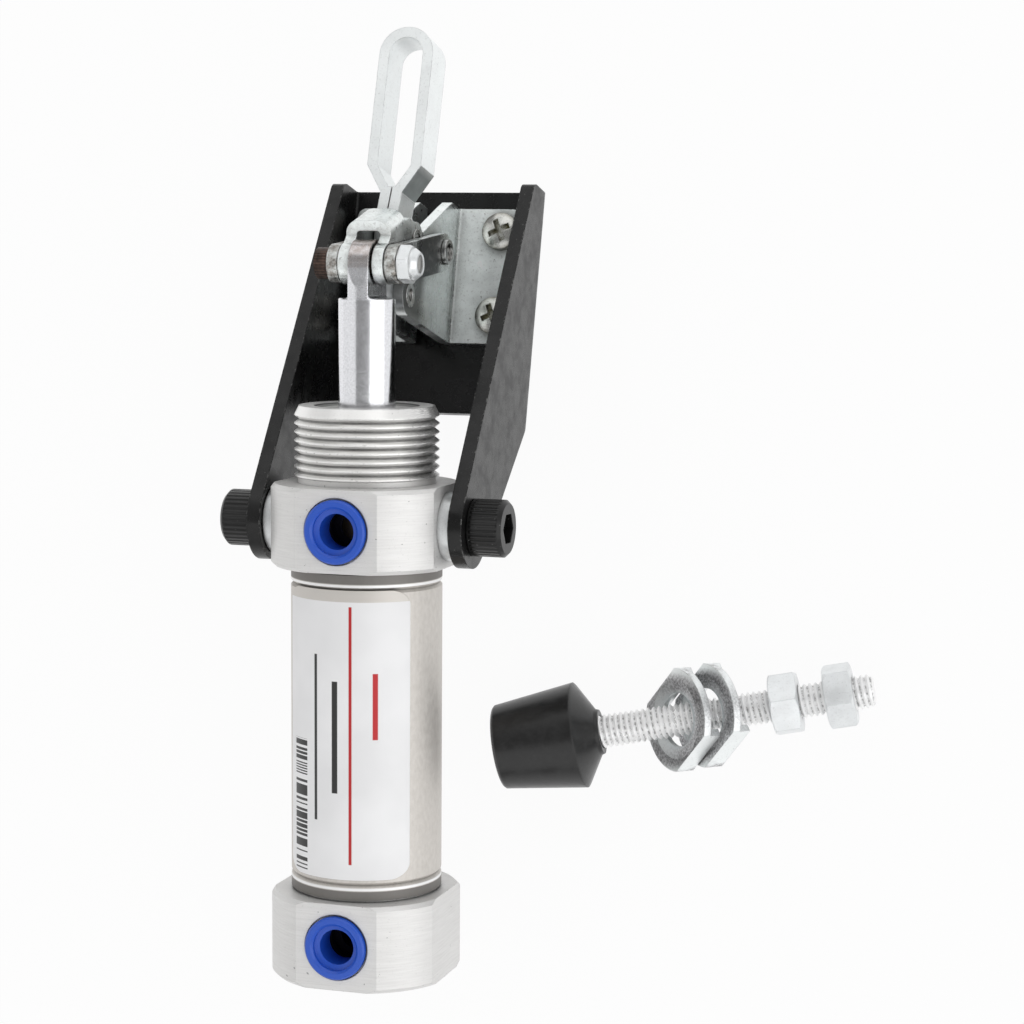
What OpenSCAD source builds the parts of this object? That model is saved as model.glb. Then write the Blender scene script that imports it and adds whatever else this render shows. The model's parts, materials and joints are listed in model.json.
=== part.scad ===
// Toggle clamp driven by a round air cylinder that swings on two trunnion screws.
// Origin: centre of the four base screws on the mounting face of the bracket.
// X runs along the pivots, Y along the base towards the arm's tip, Z out of the base.

/* [Bracket] */
// Width over the two side plates
bracket_w = 39.6; // [38.6:0.2:40.2]
// Thickness of the bracket's sheet
bracket_t = 2.5; // [2:0.1:2.5]
// Outer radius of the two bends
bracket_bend_r = 3; // [2.7:0.1:3.2]
// Lower edge of the back plate along Y
back_low_y = -25.8; // [-28:0.5:-24]
// Upper edge of the bracket along Y
back_high_y = 16.1; // [15:0.1:18]
// Depth of the side plates at their upper edge
side_top_depth = 10; // [9:0.2:11]
// Radius of the side plates' round lower end
side_end_r = 7.2; // [6.8:0.1:7.6]

/* [Base screws] */
// Screw spacing across the base
screw_spacing_x = 25.4; // [25:0.1:25.8]
// Screw spacing along the base
screw_spacing_y = 15.9; // [15:0.1:17]
// Thread diameter of the base screws
screw_d = 4; // [3.5:0.1:4.2]
// Head diameter of the base screws
screw_head_d = 6.8; // [6.6:0.1:7.2]
// Head height of the base screws
screw_head_h = 2.4; // [2:0.1:2.8]
// Length of the base screws under the head
screw_len = 12; // [10:0.5:14]
// Diameter of the screws' neck inside the sheets
screw_neck_d = 3.6; // [3.4:0.1:3.8]

/* [Pivots] */
// Trunnion axis along Y
trunnion_y = -50.1; // [-51:0.1:-49.5]
// Trunnion axis height above the mounting face
trunnion_z = 27.2; // [26.8:0.1:27.6]
// Knuckle bolt along Y, with the rod out
knuckle_y = -6.5; // [-6.8:0.1:-6.3]
// Knuckle bolt height, with the rod out
knuckle_z = 38.6; // [38.3:0.1:38.9]
// Link rivet along Y
link_pivot_y = 1.1; // [0.9:0.1:1.3]
// Link rivet height
link_pivot_z = 16.8; // [16.6:0.1:17]
// Arm rivet along Y
arm_pivot_y = -9.2; // [-9.3:0.1:-9.1]
// Arm rivet height
arm_pivot_z = 26.9; // [26.8:0.1:27]
// Yoke rivet along Y
yoke_pivot_y = 0.7; // [0.6:0.1:0.8]
// Yoke rivet height
yoke_pivot_z = 26.2; // [26.1:0.1:26.3]

/* [Clamping arm] */
// Thickness of the arm's bent strip
arm_t = 1.9; // [1.7:0.1:2.1]
// Depth of the strip, seen from the side
arm_depth = 7.2; // [6.8:0.1:7.4]
// Front edge of the strip above the mounting face
arm_front_z = 31.3; // [31.1:0.1:31.4]
// Width of the slot between the two strips
arm_slot_w = 6.3; // [6.1:0.1:6.6]
// Outer end of the loop along Y
arm_tip_y = 38.5; // [36:0.5:42]
// Place along Y where the slot's straight part starts
arm_slot_y = 13.2; // [12.5:0.1:14]
// Place along Y where the two strips meet
arm_neck_y = 8.3; // [7.8:0.1:8.6]
// Sideways lean of the bent loop in degrees
loop_lean = 1; // [0:0.2:5]
// Sideways offset of the arm's loop
loop_shift = 0.4; // [0:0.1:0.6]

/* [Yoke and links] */
// Sheet thickness of the frame halves and the yoke
frame_t = 1.95; // [1.7:0.05:2.1]
// Length of a frame half's cheek above its arm rivet, along Y
cheek_high_y = 12.4; // [12:0.1:13.4]
// Thickness of a link
link_t = 1.9; // [1.6:0.1:2.2]
// End radius of a link
link_r = 3.4; // [3.3:0.1:3.8]
// End radius of the yoke's flanges at the knuckle
yoke_r = 3.6; // [3.5:0.05:3.8]
// Height of the yoke's roof above its pivot line
yoke_roof_n = 5.3; // [5.3:0.1:5.6]
// Side clearance between pieces that turn against each other
side_gap = 0.15; // [0.1:0.01:0.2]
// Diameter of the rivets and the knuckle bolt
pin_d = 4; // [3.7:0.1:4.1]
// Diameter of the yoke rivet
yoke_pin_d = 3.8; // [3.5:0.1:3.9]
// Width over the flats of the knuckle's lock nut
lock_nut_flats = 6; // [5.5:0.1:6.4]

/* [Cylinder] */
// Bore of the tube
bore_d = 25; // [24.6:0.1:25.2]
// Wall thickness of the tube
tube_wall = 0.75; // [0.6:0.05:1]
// How much the covers' round corners stand over the tube, in diameter
cover_corner_extra = 7; // [6.6:0.1:7.4]
// How much the covers' flats stand over the tube, in width
cover_flat_extra = 3.5; // [3.2:0.1:3.7]
// Distance between the covers' outer faces
cover_span = 87; // [80:1:110]
// Length of the head cover
head_cover_len = 15.2; // [14.5:0.1:17]
// Length of the rod cover's square part
rod_cover_len = 14.4; // [14:0.1:15]
// Diameter of the nose thread
nose_d = 25.3; // [25:0.1:26]
// Length of the nose thread
nose_len = 13.4; // [12.4:0.2:14]
// Pitch of the nose thread
nose_pitch = 1.5; // [1.2:0.1:1.8]
// Diameter of the piston rod
rod_d = 10; // [9.6:0.1:10.2]
// Thickness of the rod's flat tongue
tongue_t = 3.7; // [3.4:0.1:3.8]
// Distance from the knuckle bolt down to the rod's shoulders
tongue_len = 5.9; // [5.6:0.1:6.2]
// Length of the piston
piston_len = 14; // [12:0.5:16]

/* [Ports] */
// Diameter of the air tube that pushes in
air_tube_d = 6.2; // [6:0.1:6.4]
// Outer diameter of a release ring
ring_d = 11; // [10.6:0.1:11.2]
// Travel of a release ring
ring_travel = 0.8; // [0.6:0.1:0.9]

/* [Trunnion screws] */
// Thread diameter of the trunnion screws
trunnion_d = 5.9; // [5.6:0.1:6]
// Head diameter of the trunnion screws
trunnion_head_d = 10; // [9.6:0.1:10.4]
// Head height of the trunnion screws
trunnion_head_h = 6; // [5.5:0.1:6.5]
// Outer diameter of the spacer rings
spacer_d = 12; // [11:0.1:12.6]

/* [Loose spindle] */
// Thread diameter of the spindle
spindle_d = 6; // [5.6:0.1:6.2]
// Length of the threaded rod outside the tip
spindle_len = 48.8; // [46:0.2:52]
// Diameter of the rubber tip's large end
tip_d = 18.9; // [18:0.1:20]
// Diameter of the rubber tip's small end
tip_small_d = 15.1; // [14:0.1:16]
// Length of the rubber tip's tapered skirt
tip_len = 15.1; // [14:0.1:16]
// Length of the tip's conical shoulder
tip_shoulder_len = 3; // [2.4:0.1:3.4]
// Place of the tip's small end along X
spindle_x = 20.2; // [19:0.2:24]
// Place of the tip's small end along Y
spindle_y = -86.4; // [-92:0.2:-84]
// Turn of the spindle on the table in degrees
spindle_turn = 12.6; // [8:0.2:16]
// Slope of the spindle down to its nuts in degrees
spindle_slope = 4.7; // [4.3:0.1:4.8]
// Diameter of the flanged washers
flanged_d = 18.4; // [18:0.1:19]
// Sheet thickness of the flanged washers
flanged_t = 1.4; // [1.2:0.1:1.5]
// Width over the bent lips of a flanged washer
flanged_w = 14.6; // [14.2:0.1:15]
// Height over the lips
flanged_h = 3.6; // [3:0.1:4]
// Hole diameter of the flanged washers
flanged_hole_d = 9.6; // [9.4:0.1:10]
// Lean of the washers on the spindle in degrees
flanged_lean = 42; // [38:1:42]
// Width over the flats of the spindle's nuts
nut_flats = 10; // [9.6:0.1:10]
// Height of the spindle's nuts
nut_h = 5; // [4.6:0.1:5.2]

/* [Hidden] */
$fn = 64;
// Overrun of a cut past the face it opens
cut = 1;
// Radial clearance of a pin that turns in its hole
run_fit = 0.05;
// Gap between pieces of different bodies that pass each other
body_gap = 0.3;
// Reach of helper shapes that only bound or cut others
far = 20;

// The five pivots in the plane of the side plates, as [Y, Z]
trunnion = [trunnion_y, trunnion_z];
knuckle = [knuckle_y, knuckle_z];
link_pivot = [link_pivot_y, link_pivot_z];
arm_pivot = [arm_pivot_y, arm_pivot_z];
yoke_pivot = [yoke_pivot_y, yoke_pivot_z];

// Layers along X, from the middle outwards
pin_r = pin_d / 2;
yoke_pin_r = yoke_pin_d / 2;
seam_half = 0.1;
arm_half = seam_half + arm_t;
cheek_in = arm_half + side_gap;
cheek_out = cheek_in + frame_t;
link_in = cheek_out + body_gap;
link_out = link_in + link_t;
frame_front_z = bracket_t + frame_t;
frame_reach = screw_spacing_x / 2 + 3.3;
plate_out = bracket_w / 2;
plate_in = plate_out - bracket_t;

// Cylinder frame: Z along the cylinder towards the rod, origin on the trunnion axis
rod_reach = norm(knuckle - trunnion);
rod_angle = atan2(knuckle_z - trunnion_z, knuckle_y - trunnion_y);
rod_r = rod_d / 2;
bore_r = bore_d / 2;
tube_d = bore_d + 2 * tube_wall;
cover_d = tube_d + cover_corner_extra;
cover_w = tube_d + cover_flat_extra;
cover_half = cover_w / 2;
rod_cover_top = rod_cover_len / 2;
rod_cover_low = -rod_cover_len / 2;
head_bottom = rod_cover_top - cover_span;
head_top = head_bottom + head_cover_len;
tube_low = head_top + 0.4;
tube_high = rod_cover_low - 0.4;
nose_top = rod_cover_top + nose_len;
spigot_len = 6;
spigot_r = bore_r - 0.02;
crimp_in = 2.6;
crimp_depth = 0.5;
port_head_z = head_bottom + head_cover_len / 2;
port_rod_z = 0;
ring_r = ring_d / 2;
ring_flange_t = 1.2;
ring_proud = 1;
ring_skirt_r = 4.4;
ring_skirt_len = 4.8;
port_pocket_r = 4.7;
port_pocket_depth = 8.4;
port_seal_t = 1.9;
bumper_t = 1.6;
bush_r = 6.5;
rod_seal_r = 8;
rod_seal_t = 4;
piston_top = rod_cover_low - spigot_len - bumper_t - 0.5;
seal_groove_r = bore_r - 2.9;
rod_seal_top = nose_top - 2;
nose_neck_r = nose_d / 2 - 0.6;

// Yoke frame: a runs from the knuckle to the yoke rivet, n towards the roof
yoke_reach = norm(yoke_pivot - knuckle);
yoke_angle = atan2(yoke_pivot_z - knuckle_z, yoke_pivot_y - knuckle_y);
yoke_front = 2;
yoke_back = 9.6;
yoke_h1_r = 3.4;
nut_thread_r = 1.5;
nut_insert_r = 1.85;

// Table that the clamp lies on, under the tips of the base screws
table_z = frame_front_z - screw_len;

// Places and turns along the loose spindle, from the tip's small end
tip_end = tip_len + tip_shoulder_len + 0.6;
tip_collar_r = 3.95;
washer_places = [32.9, 38.1];
nut_places = [49.4, 59];
nut_turns = [0, 22];

function polar(r, angle) = [r * cos(angle), r * sin(angle)];
function along_yoke(a, n) = knuckle + polar(a, yoke_angle) + polar(n, yoke_angle + 90);
function along_rod(a, n) = trunnion + polar(a, rod_angle) + polar(n, rod_angle + 90);

// Extrudes a shape drawn in the Y-Z plane from x0 to x1
module across(x0, x1) {
    translate([x0, 0, 0])
        rotate([90, 0, 90])
            linear_extrude(x1 - x0)
                children();
}

// Rod along X through a [Y, Z] point
module pin(at, r, x0, x1) {
    translate([x0, at[0], at[1]])
        rotate([0, 90, 0])
            cylinder(h = x1 - x0, r = r);
}

// Flat bar with two round ends from x0 to x1, with its own tangent lines
module bar(c1, r1, c2, r2, x0, x1) {
    inset = 0.02;
    reach = norm(c2 - c1);
    heading = atan2(c2[1] - c1[1], c2[0] - c1[0]);
    spread = acos((r1 - r2) / reach);
    pin(c1, r1, x0, x1);
    pin(c2, r2, x0, x1);
    across(x0, x1)
        polygon([c1 + polar(r1 - inset, heading + spread), c2 + polar(r2 - inset, heading + spread),
                 c2 + polar(r2 - inset, heading - spread), c1 + polar(r1 - inset, heading - spread)]);
}

// Ring along X
module ring_x(at, r_in, r_out, x0, x1) {
    difference() {
        pin(at, r_out, x0, x1);
        pin(at, r_in, x0 - cut, x1 + cut);
    }
}

module on_both_sides() {
    children();
    mirror([1, 0, 0]) children();
}

module at_base_screws() {
    for (x = [-screw_spacing_x / 2, screw_spacing_x / 2])
        for (y = [-screw_spacing_y / 2, screw_spacing_y / 2])
            translate([x, y, 0]) children();
}

// Moves children drawn in the cylinder frame to their place
module on_barrel() {
    translate([0, trunnion_y, trunnion_z])
        rotate([rod_angle - 90, 0, 0])
            children();
}

// Outline of one bracket plate: straight back, slanted front, round lower end
module side_plate(x0, x1) {
    corner_r = 2;
    corner = [back_high_y - corner_r, side_top_depth - corner_r];
    heel = [back_low_y + 1, 1];
    bar(trunnion, side_end_r, corner, corner_r, x0, x1);
    bar(trunnion, side_end_r, heel, 1, x0, x1);
    across(x0, x1) {
        polygon([trunnion, corner, [corner[0], 0], [heel[0], 0]]);
        translate([corner[0] - 1, 0]) square([corner_r + 1, corner[1]]);
    }
}

// Outer section of the bracket, with its two rounded back corners
module bracket_section(inset) {
    r = bracket_bend_r - inset;
    top = 60;
    for (s = [-1, 1])
        translate([s * (plate_out - bracket_bend_r), bracket_bend_r])
            circle(r);
    translate([-plate_out + bracket_bend_r, inset])
        square([bracket_w - 2 * bracket_bend_r, bracket_bend_r]);
    translate([-plate_out + inset, bracket_bend_r])
        square([bracket_w - 2 * inset, top]);
}

// Extrudes a section drawn in the X-Z plane from y0 to y1
module along_base(y0, y1) {
    translate([0, y1, 0])
        rotate([90, 0, 0])
            linear_extrude(y1 - y0)
                children();
}

module bracket() {
    low_y = trunnion_y - side_end_r - 1;
    color([0.1, 0.1, 0.11])
        difference() {
            union() {
                intersection() {
                    along_base(low_y, back_high_y) bracket_section(0);
                    union() {
                        side_plate(-plate_out - 1, -plate_in);
                        side_plate(plate_in, plate_out + 1);
                    }
                }
                intersection() {
                    along_base(back_low_y, back_high_y)
                        difference() {
                            bracket_section(0);
                            bracket_section(bracket_t);
                        }
                    side_plate(-plate_out - 1, plate_out + 1);
                }
            }
            on_both_sides()
                pin(trunnion, trunnion_d / 2 + run_fit, plate_in - cut, plate_out + cut);
            at_base_screws()
                translate([0, 0, -cut])
                    cylinder(h = bracket_t + 2 * cut, d = screw_d + 0.3);
        }
}

// Outline of a frame half: ears round both rivets, sloped top, square back
module cheek(x0, x1) {
    ear_r = 3.8;
    low = arm_pivot_y - ear_r + 0.02;
    high = cheek_high_y;
    crest = [link_pivot_y + 1.7, link_pivot_z + 6.9];
    slope_end = [high - 1.4, frame_front_z + 6.85];
    toe_z = frame_front_z + 4.55;
    difference() {
        union() {
            bar(arm_pivot, ear_r, link_pivot, ear_r + 0.1, x0, x1);
            across(x0, x1)
                polygon([[low, arm_pivot_z], arm_pivot, link_pivot, crest, slope_end,
                         [high, toe_z], [high, bracket_t], [low, bracket_t]]);
        }
        pin(yoke_pivot, yoke_h1_r + 0.4, x0 - cut, x1 + cut);
    }
}

// L-shaped section of a frame half
module frame_section() {
    bend_r = 2.6;
    reach = frame_reach;
    tall = 2 * far;
    bend = [cheek_in + bend_r, bracket_t + bend_r];
    difference() {
        union() {
            translate(bend) circle(bend_r);
            translate([cheek_in, bend[1]]) square([reach - cheek_in, tall]);
            translate([bend[0], bracket_t]) square([reach - bend[0], tall]);
        }
        translate(bend) circle(bend_r - frame_t);
        translate([cheek_out, bend[1]]) square([reach, tall + cut]);
        translate([bend[0], frame_front_z]) square([reach, tall + cut]);
    }
}

// One L-shaped half of the frame: flange under two screws, cheek with two rivet holes
module frame_half() {
    difference() {
        intersection() {
            cheek(1, far);
            along_base(-far, far) frame_section();
        }
        pin(arm_pivot, pin_r, 0, cheek_out + cut);
        pin(link_pivot, pin_r, 0, cheek_out + cut);
        at_base_screws()
            translate([0, 0, bracket_t - cut])
                cylinder(h = frame_t + 2 * cut, d = screw_d + 0.3);
        flange_corner();
    }
}

// What rounds off the upper outer corner of a frame half's flange
module flange_corner() {
    r = 1.6;
    translate([frame_reach - r, cheek_high_y - r, bracket_t - cut])
        difference() {
            cube([r + cut, r + cut, frame_t + 2 * cut]);
            translate([0, 0, -cut]) cylinder(h = frame_t + 4 * cut, r = r);
        }
}

module frame_right() {
    color([0.74, 0.76, 0.76]) frame_half();
}

module frame_left() {
    color([0.74, 0.76, 0.76]) mirror([1, 0, 0]) frame_half();
}

// Pan-head screw with a cross recess; its tail stands out behind the bracket
module base_screw() {
    dome_r = 7;
    rim_h = 0.8;
    recess = 4.2;
    recess_w = 1;
    recess_depth = 1.5;
    head_r = screw_head_d / 2;
    dome_z = screw_head_h - dome_r;
    difference() {
        union() {
            intersection() {
                cylinder(h = screw_head_h, r = head_r);
                union() {
                    cylinder(h = rim_h, r = head_r);
                    translate([0, 0, dome_z]) sphere(dome_r);
                }
            }
            translate([0, 0, -frame_front_z]) cylinder(h = frame_front_z, d = screw_neck_d);
            translate([0, 0, -screw_len + 0.5])
                cylinder(h = screw_len - 0.5 - frame_front_z, d = screw_d);
            translate([0, 0, -screw_len])
                cylinder(h = 0.5, d1 = screw_d - 1, d2 = screw_d);
        }
        for (turn = [0, 90])
            rotate([0, 0, turn + 24])
                translate([-recess / 2, -recess_w / 2, screw_head_h - recess_depth])
                    cube([recess, recess_w, recess_depth + cut]);
    }
}

module base_screws() {
    color([0.72, 0.71, 0.66])
        at_base_screws()
            translate([0, 0, frame_front_z]) base_screw();
}

// Rivet with two low round heads, each with a round dimple
module rivet(at, shank_r, head_r, x_seat, head_t) {
    dimple_r = 0.72 * head_r;
    difference() {
        union() {
            pin(at, shank_r, -x_seat, x_seat);
            on_both_sides() pin(at, head_r, x_seat, x_seat + head_t);
        }
        on_both_sides() pin(at, dimple_r, x_seat + 0.35 * head_t, x_seat + head_t + cut);
    }
}

module link_rivet() {
    color([0.78, 0.79, 0.8]) rivet(link_pivot, pin_r, 2.3, link_out + 0.1, 0.75);
}

// Its heads are peened almost flush, because the links swing past them
module arm_rivet() {
    rise = body_gap / 3;
    color([0.78, 0.79, 0.8])
        difference() {
            union() {
                pin(arm_pivot, pin_r, -cheek_out, cheek_out);
                on_both_sides() pin(arm_pivot, 2.2, cheek_out, cheek_out + rise);
            }
            on_both_sides() pin(arm_pivot, 1.1, cheek_out - 0.4, cheek_out + rise + cut);
        }
}

module yoke_rivet() {
    color([0.78, 0.79, 0.8]) rivet(yoke_pivot, yoke_pin_r, 2.2, cheek_out, 0.3);
}

// Half outline of the arm seen from the front, grown by d on the outside
module arm_loop(half, tip_r) {
    tip_centre = arm_tip_y - (arm_slot_w / 2 + arm_t);
    polygon([[-half[0], arm_neck_y - 0.3], [-half[0], arm_neck_y], [-half[1], arm_slot_y],
             [-half[1], tip_centre], [half[1], tip_centre], [half[1], arm_slot_y],
             [half[0], arm_neck_y], [half[0], arm_neck_y - 0.3]]);
    translate([0, tip_centre]) circle(tip_r);
}

// Neck of the arm seen from the front, straight up to the yoke's end, then set over to the loop
module strip_end(half, y0, y1) {
    bend_y = 4.6;
    over = loop_shift * (y1 - bend_y) / (arm_neck_y - bend_y);
    polygon([[-half, y0], [half, y0], [half, bend_y], [half + over, y1],
             [over - half, y1], [-half, bend_y]]);
}

// The arm: one strip bent to a loop for the spindle, its two ends side by side
module arm() {
    ends_y = -3.2;
    slot_r = arm_slot_w / 2;
    tip_r = slot_r + arm_t;
    heel = [yoke_pivot_y, yoke_pivot_z - 0.9];
    slot_low = [yoke_pivot_y + 0.35, yoke_pivot_z - 1.5];
    slot_high = [yoke_pivot_y + 0.2, yoke_pivot_z + 0.65];
    slack_r = yoke_pin_r + 0.45;
    color([0.83, 0.85, 0.85])
        difference() {
            union() {
                translate([0, 0, arm_front_z - arm_depth])
                    linear_extrude(arm_depth)
                        difference() {
                            union() {
                                strip_end(arm_half, ends_y, arm_neck_y);
                                translate([loop_shift, arm_neck_y])
                                    rotate(-loop_lean)
                                        translate([0, -arm_neck_y])
                                            arm_loop([arm_half, tip_r], tip_r);
                            }
                            strip_end(seam_half, ends_y - cut, arm_neck_y + 3);
                            translate([loop_shift, arm_neck_y])
                                rotate(-loop_lean)
                                    translate([0, -arm_neck_y])
                                        difference() {
                                            arm_loop([0.01, slot_r], slot_r);
                                            translate([-slot_r, arm_neck_y - 4])
                                                square([2 * slot_r, 5]);
                                        }
                        }
                bar(arm_pivot, 3.1, heel, 5, seam_half, arm_half);
                bar(arm_pivot, 3.1, heel, 5, -arm_half, -seam_half);
            }
            pin(arm_pivot, pin_r + run_fit, -arm_half - cut, arm_half + cut);
            bar(slot_low, slack_r, slot_high, slack_r, -arm_half - cut, arm_half + cut);
        }
}

// Section of the yoke's channel, with n downwards
module yoke_section() {
    inner_r = 0.65;
    low = yoke_r + 1;
    difference() {
        arch(cheek_out, yoke_roof_n + frame_t, inner_r + frame_t, low);
        arch(cheek_in, yoke_roof_n, inner_r, low + cut);
    }
}

// Flat shape with two round corners at its top, drawn with the top downwards
module arch(half, top, r, low) {
    for (s = [-1, 1])
        translate([s * (half - r), r - top]) circle(r);
    translate([r - half, -top]) square([2 * (half - r), top + low]);
    translate([-half, r - top]) square([2 * half, top + low - r]);
}

// Side view of the yoke: ears round both pivots under a straight roof
module yoke_outline() {
    waist = -1.5;
    top = yoke_roof_n + frame_t;
    translate(knuckle) circle(yoke_r);
    translate(yoke_pivot) circle(yoke_h1_r);
    polygon([along_yoke(0, waist), along_yoke(yoke_reach, waist),
             along_yoke(yoke_reach + yoke_h1_r * 0.8, yoke_h1_r * 0.6),
             along_yoke(yoke_back + 1.9, yoke_roof_n - 0.2),
             along_yoke(yoke_back, yoke_roof_n - 0.2),
             along_yoke(yoke_back, top), along_yoke(yoke_front, top),
             along_yoke(yoke_front, yoke_roof_n - 0.8), along_yoke(-yoke_r * 0.9, yoke_r * 0.44)]);
}

// The yoke: a short channel that joins the knuckle to the arm
module yoke() {
    color([0.76, 0.76, 0.74])
        difference() {
            intersection() {
                across(-cheek_out - 1, cheek_out + 1) yoke_outline();
                translate([0, knuckle_y, knuckle_z])
                    rotate([yoke_angle - 90, 0, 0])
                        translate([0, 0, -yoke_r - 1])
                            linear_extrude(yoke_reach + 2 * yoke_r + 2)
                                yoke_section();
            }
            pin(knuckle, pin_r + run_fit, -cheek_out - cut, cheek_out + cut);
            pin(yoke_pivot, yoke_pin_r, -cheek_out - cut, cheek_out + cut);
        }
}

module link() {
    difference() {
        bar(knuckle, link_r, link_pivot, link_r, link_in, link_out);
        pin(knuckle, pin_r, link_in - cut, link_out + cut);
        pin(link_pivot, pin_r + run_fit, link_in - cut, link_out + cut);
    }
}

module link_right() {
    color([0.7, 0.71, 0.71]) link();
}

module link_left() {
    color([0.7, 0.71, 0.71]) mirror([1, 0, 0]) link();
}

// Thin washers between the links and the yoke, and between the links and the cheeks
module link_washers() {
    color([0.8, 0.8, 0.78])
        on_both_sides() {
            ring_x(knuckle, pin_r, link_r - 0.1, cheek_out + 0.1, link_in);
            ring_x(link_pivot, pin_r + run_fit, link_r - 0.2, cheek_out + 0.1, link_in);
        }
}

// Shoulder bolt with a socket head through the links, the yoke and the rod's tongue
module knuckle_bolt() {
    head_r = 2.75;
    head_h = 2.6;
    color([0.42, 0.3, 0.25])
        difference() {
            union() {
                pin(knuckle, pin_r, -link_out - 0.1, link_out - 0.05);
                pin(knuckle, nut_thread_r, link_out - 1, link_out + 3.1);
                pin(knuckle, head_r, -link_out - head_h, -link_out);
            }
            translate([-link_out - head_h - cut, knuckle_y, knuckle_z])
                rotate([0, 90, 0])
                    cylinder(h = 1.5 + cut, r = 1.25 / cos(30), $fn = 6);
        }
}

// Hexagon along X with chamfered corners at both ends
module hex_x(at, flats, x0, x1, chamfer) {
    corner_r = flats / 2 / cos(30);
    len = x1 - x0;
    translate([x0, at[0], at[1]])
        rotate([0, 90, 0])
            intersection() {
                cylinder(h = len, r = corner_r, $fn = 6);
                union() {
                    cylinder(h = chamfer, r1 = flats / 2, r2 = flats / 2 + 2 * chamfer);
                    translate([0, 0, chamfer])
                        cylinder(h = len - 2 * chamfer, r = corner_r + 1);
                    translate([0, 0, len - chamfer])
                        cylinder(h = chamfer, r1 = flats / 2 + 2 * chamfer, r2 = flats / 2);
                }
            }
}

// Lock nut: hexagon with a tapered collar that holds the plastic ring
module lock_nut() {
    hex_h = 2.2;
    collar_h = 1.3;
    rim_h = 0.3;
    end = link_out + hex_h + collar_h;
    color([0.84, 0.85, 0.86])
        difference() {
            union() {
                hex_x(knuckle, lock_nut_flats, link_out, link_out + hex_h, 0.35);
                translate([link_out + hex_h - 0.3, knuckle_y, knuckle_z])
                    rotate([0, 90, 0])
                        rotate_extrude()
                            polygon([[0, 0], [2.8, 0], [2.75, 0.7], [2.2, collar_h + 0.1],
                                     [2.05, collar_h + 0.3], [0, collar_h + 0.3]]);
            }
            pin(knuckle, nut_thread_r, link_out - cut, link_out + hex_h + cut);
            pin(knuckle, nut_insert_r + 0.02, link_out + hex_h, end - rim_h);
            pin(knuckle, nut_thread_r + 0.05, end - rim_h - 0.1, end + cut);
        }
}

module nut_insert() {
    color([0.85, 0.85, 0.8])
        ring_x(knuckle, nut_thread_r + 0.02, nut_insert_r, link_out + 2.25, link_out + 3.1);
}

// Rod: chromed bar with two shoulders and a flat tongue; the slack hole takes the bolt
module rod() {
    tongue_r = 4.2;
    tongue_shift = 0.3;
    shoulder = rod_reach - tongue_len;
    edge = 0.2;
    fillet_r = 0.6;
    slack_r = pin_r + 0.6;
    slack_low = along_rod(rod_reach - 0.4, -0.6);
    slack_high = along_rod(rod_reach - 0.4, 1.2);
    tip = along_rod(rod_reach, tongue_shift);
    color([0.86, 0.86, 0.88])
        difference() {
            union() {
                on_barrel() {
                    translate([0, 0, piston_top - piston_len - 1])
                        cylinder(h = piston_len + 1.2, r = 4);
                    translate([0, 0, piston_top])
                        cylinder(h = shoulder - edge - piston_top, r = rod_r);
                    translate([0, 0, shoulder - edge])
                        cylinder(h = edge, r1 = rod_r, r2 = rod_r - edge);
                }
                intersection() {
                    across(-tongue_t / 2, tongue_t / 2) {
                        translate(tip) circle(tongue_r);
                        polygon([along_rod(shoulder - 1, -rod_r), along_rod(rod_reach - 4, -rod_r),
                                 along_rod(rod_reach + 0.3, tongue_shift - tongue_r),
                                 along_rod(rod_reach + 0.3, tongue_shift + tongue_r),
                                 along_rod(rod_reach - 4, rod_r), along_rod(shoulder - 1, rod_r)]);
                    }
                    on_barrel()
                        translate([0, 0, shoulder - 2]) cylinder(h = far, r = rod_r - 0.02);
                }
                on_barrel() tongue_fillets(shoulder, fillet_r, rod_r - edge);
            }
            bar(slack_low, slack_r, slack_high, slack_r, -tongue_t, tongue_t);
        }
}

// Two small fillets where the flat tongue stands on the rod's shoulders
module tongue_fillets(z, r, reach_r) {
    foot = tongue_t / 2 + r;
    intersection() {
        translate([0, reach_r, z - 0.1])
            rotate([90, 0, 0])
                linear_extrude(2 * reach_r)
                    difference() {
                        translate([-foot, 0]) square([2 * foot, r + 0.1]);
                        for (s = [-1, 1])
                            translate([s * foot, r + 0.1]) circle(r);
                    }
        translate([0, 0, z - 1]) cylinder(h = far, r = reach_r);
    }
}

// Piston with two grooves
module piston() {
    edge_r = bore_r - 0.3;
    seal_z = piston_top - 4.5;
    wear_z = piston_top - 11;
    color([0.75, 0.76, 0.78])
        on_barrel()
            difference() {
                translate([0, 0, piston_top - piston_len]) cylinder(h = piston_len, r = edge_r);
                translate([0, 0, piston_top - piston_len - cut])
                    cylinder(h = piston_len + 2 * cut, r = 4);
                translate([0, 0, seal_z]) tube_ring(seal_groove_r, bore_r + 1, 3);
                translate([0, 0, wear_z]) tube_ring(seal_groove_r + 1, bore_r + 1, 4);
            }
}

// Ring along Z
module tube_ring(r_in, r_out, h) {
    difference() {
        cylinder(h = h, r = r_out);
        translate([0, 0, -cut]) cylinder(h = h + 2 * cut, r = r_in);
    }
}

module piston_seal() {
    color([0.08, 0.08, 0.08])
        on_barrel()
            translate([0, 0, piston_top - 4.5])
                tube_ring(seal_groove_r, bore_r - 0.05, 3);
}

module wear_ring() {
    color([0.35, 0.25, 0.15])
        on_barrel()
            translate([0, 0, piston_top - 11])
                tube_ring(seal_groove_r + 1, bore_r - 0.05, 4);
}

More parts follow.
